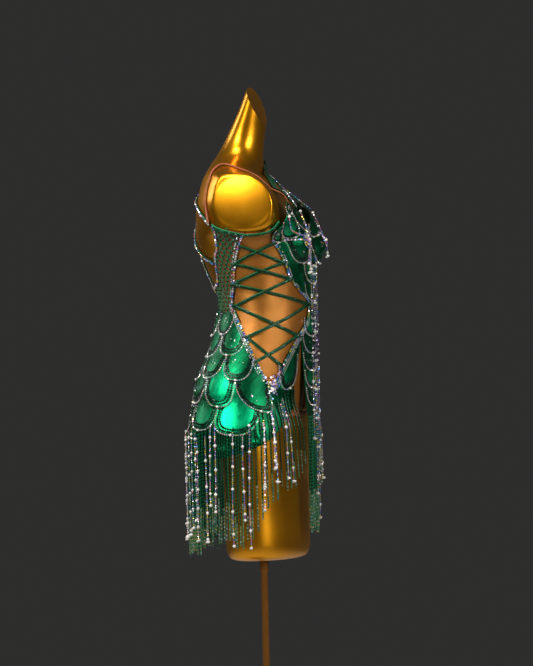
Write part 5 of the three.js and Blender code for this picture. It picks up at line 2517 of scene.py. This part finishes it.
# ---------------------------------------------------------------- studio
@dataclass(frozen=True)
class Studio:
    """The pale floor, the soft lights and the camera."""

    heading: float = 16.0
    distance: float = 9.0
    span: float = 0.6327
    roll: float = -0.0227
    target: tuple[float, float, float] = (0.0040, -0.0139, 1.0475)

    def build(self) -> None:
        """Sets up the whole studio."""
        self.floor()
        self.lamp("key", (-2.5, 1.1, 2.6), 1.2, 21.0, (1.0, 0.97, 0.92))
        self.lamp("fill", (-1.3, -3.0, 1.7), 1.3, 15.0, (1.0, 0.97, 0.93))
        self.lamp("crown", (-0.9, 0.1, 3.3), 0.9, 8.5, (1.0, 0.98, 0.95))
        self.lamp("rim", (0.6, 2.8, 2.2), 1.1, 4.0, (1.0, 0.98, 0.96))
        world = bpy.data.worlds.new("studio_air")
        world.use_nodes = True
        air = world.node_tree.nodes["Background"]
        air.inputs["Color"].default_value = (0.9, 0.88, 0.86, 1)
        air.inputs["Strength"].default_value = 0.03
        bpy.context.scene.world = world
        bpy.context.scene.view_settings.view_transform = "Standard"
        self.camera()

    def floor(self) -> None:
        """A plain pale disc."""
        turn = np.radians(np.arange(0, 360, 3))
        points = np.stack([np.cos(turn) * 3000, np.sin(turn) * 3000, 0 * turn - 0.5], -1)
        material = bpy.data.materials.new("pale_floor")
        material.use_nodes = True
        shader = material.node_tree.nodes["Principled BSDF"]
        shader.inputs["Base Color"].default_value = (0.72, 0.72, 0.72, 1)
        shader.inputs["Roughness"].default_value = 0.85
        write_mesh("studio_floor", points, [np.arange(len(points))[None]], material)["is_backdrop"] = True

    def lamp(self, name: str, place: tuple[float, float, float], size: float, power: float,
             colour: Colour) -> None:
        """A soft square lamp aimed at the dress.

        Args:
            name: the lamp's name.
            place: where it hangs, in metres.
            size: its side.
            power: its watts.
            colour: its light.
        """
        data = bpy.data.lights.new(f"studio_{name}", "AREA")
        data.size, data.energy, data.color = size, power, colour
        data.spread = math.radians(90)
        lamp = bpy.data.objects.new(f"studio_{name}", data)
        lamp.location = place
        aim = Vector((0.0, 0.0, 1.2))
        lamp.rotation_euler = (aim - Vector(place)).to_track_quat("-Z", "Y").to_euler()
        bpy.context.scene.collection.objects.link(lamp)
        lamp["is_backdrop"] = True

    def camera(self) -> None:
        """The camera, level with the dress, on its right side and a little to the front."""
        turn = math.radians(self.heading)
        ahead = Vector((math.cos(turn), math.sin(turn), 0))
        data = bpy.data.cameras.new("dress_camera")
        data.angle = 2 * math.atan(self.span / self.distance)
        camera = bpy.data.objects.new("dress_camera", data)
        camera.location = Vector(self.target) - ahead * self.distance
        facing = ahead.to_track_quat("-Z", "Y").to_matrix().to_4x4()
        roll = Matrix.Rotation(self.roll, 4, "Z")
        camera.matrix_world = Matrix.Translation(camera.location) @ facing @ roll
        bpy.context.scene.collection.objects.link(camera)
        bpy.context.scene.camera = camera


# ---------------------------------------------------------------- main
def corners() -> list[list[float]]:
    """The size of everything on the body now, as plain lists."""
    low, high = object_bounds()
    return [[float(v) for v in low], [float(v) for v in high]]


def main() -> None:
    """Builds the dress and its stand, in order, and then the studio."""
    logging.basicConfig(level=logging.INFO, format="%(message)s")
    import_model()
    groups = Groups()
    bench = Workshop({finish.name: finish.build(groups) for finish in FINISHES})
    for part in (
        DressForm(),
        Stand(),
        NudeHalves(),
        NetHalves(),
        SatinPanels(),
        Straps(),
        Lacing(),
        Jewels(),
        Fringe(),
    ):
        LOG.info("building %s", type(part).__name__)
        part.build(bench)
    Studio().build()


if __name__ == "__main__":
    main()
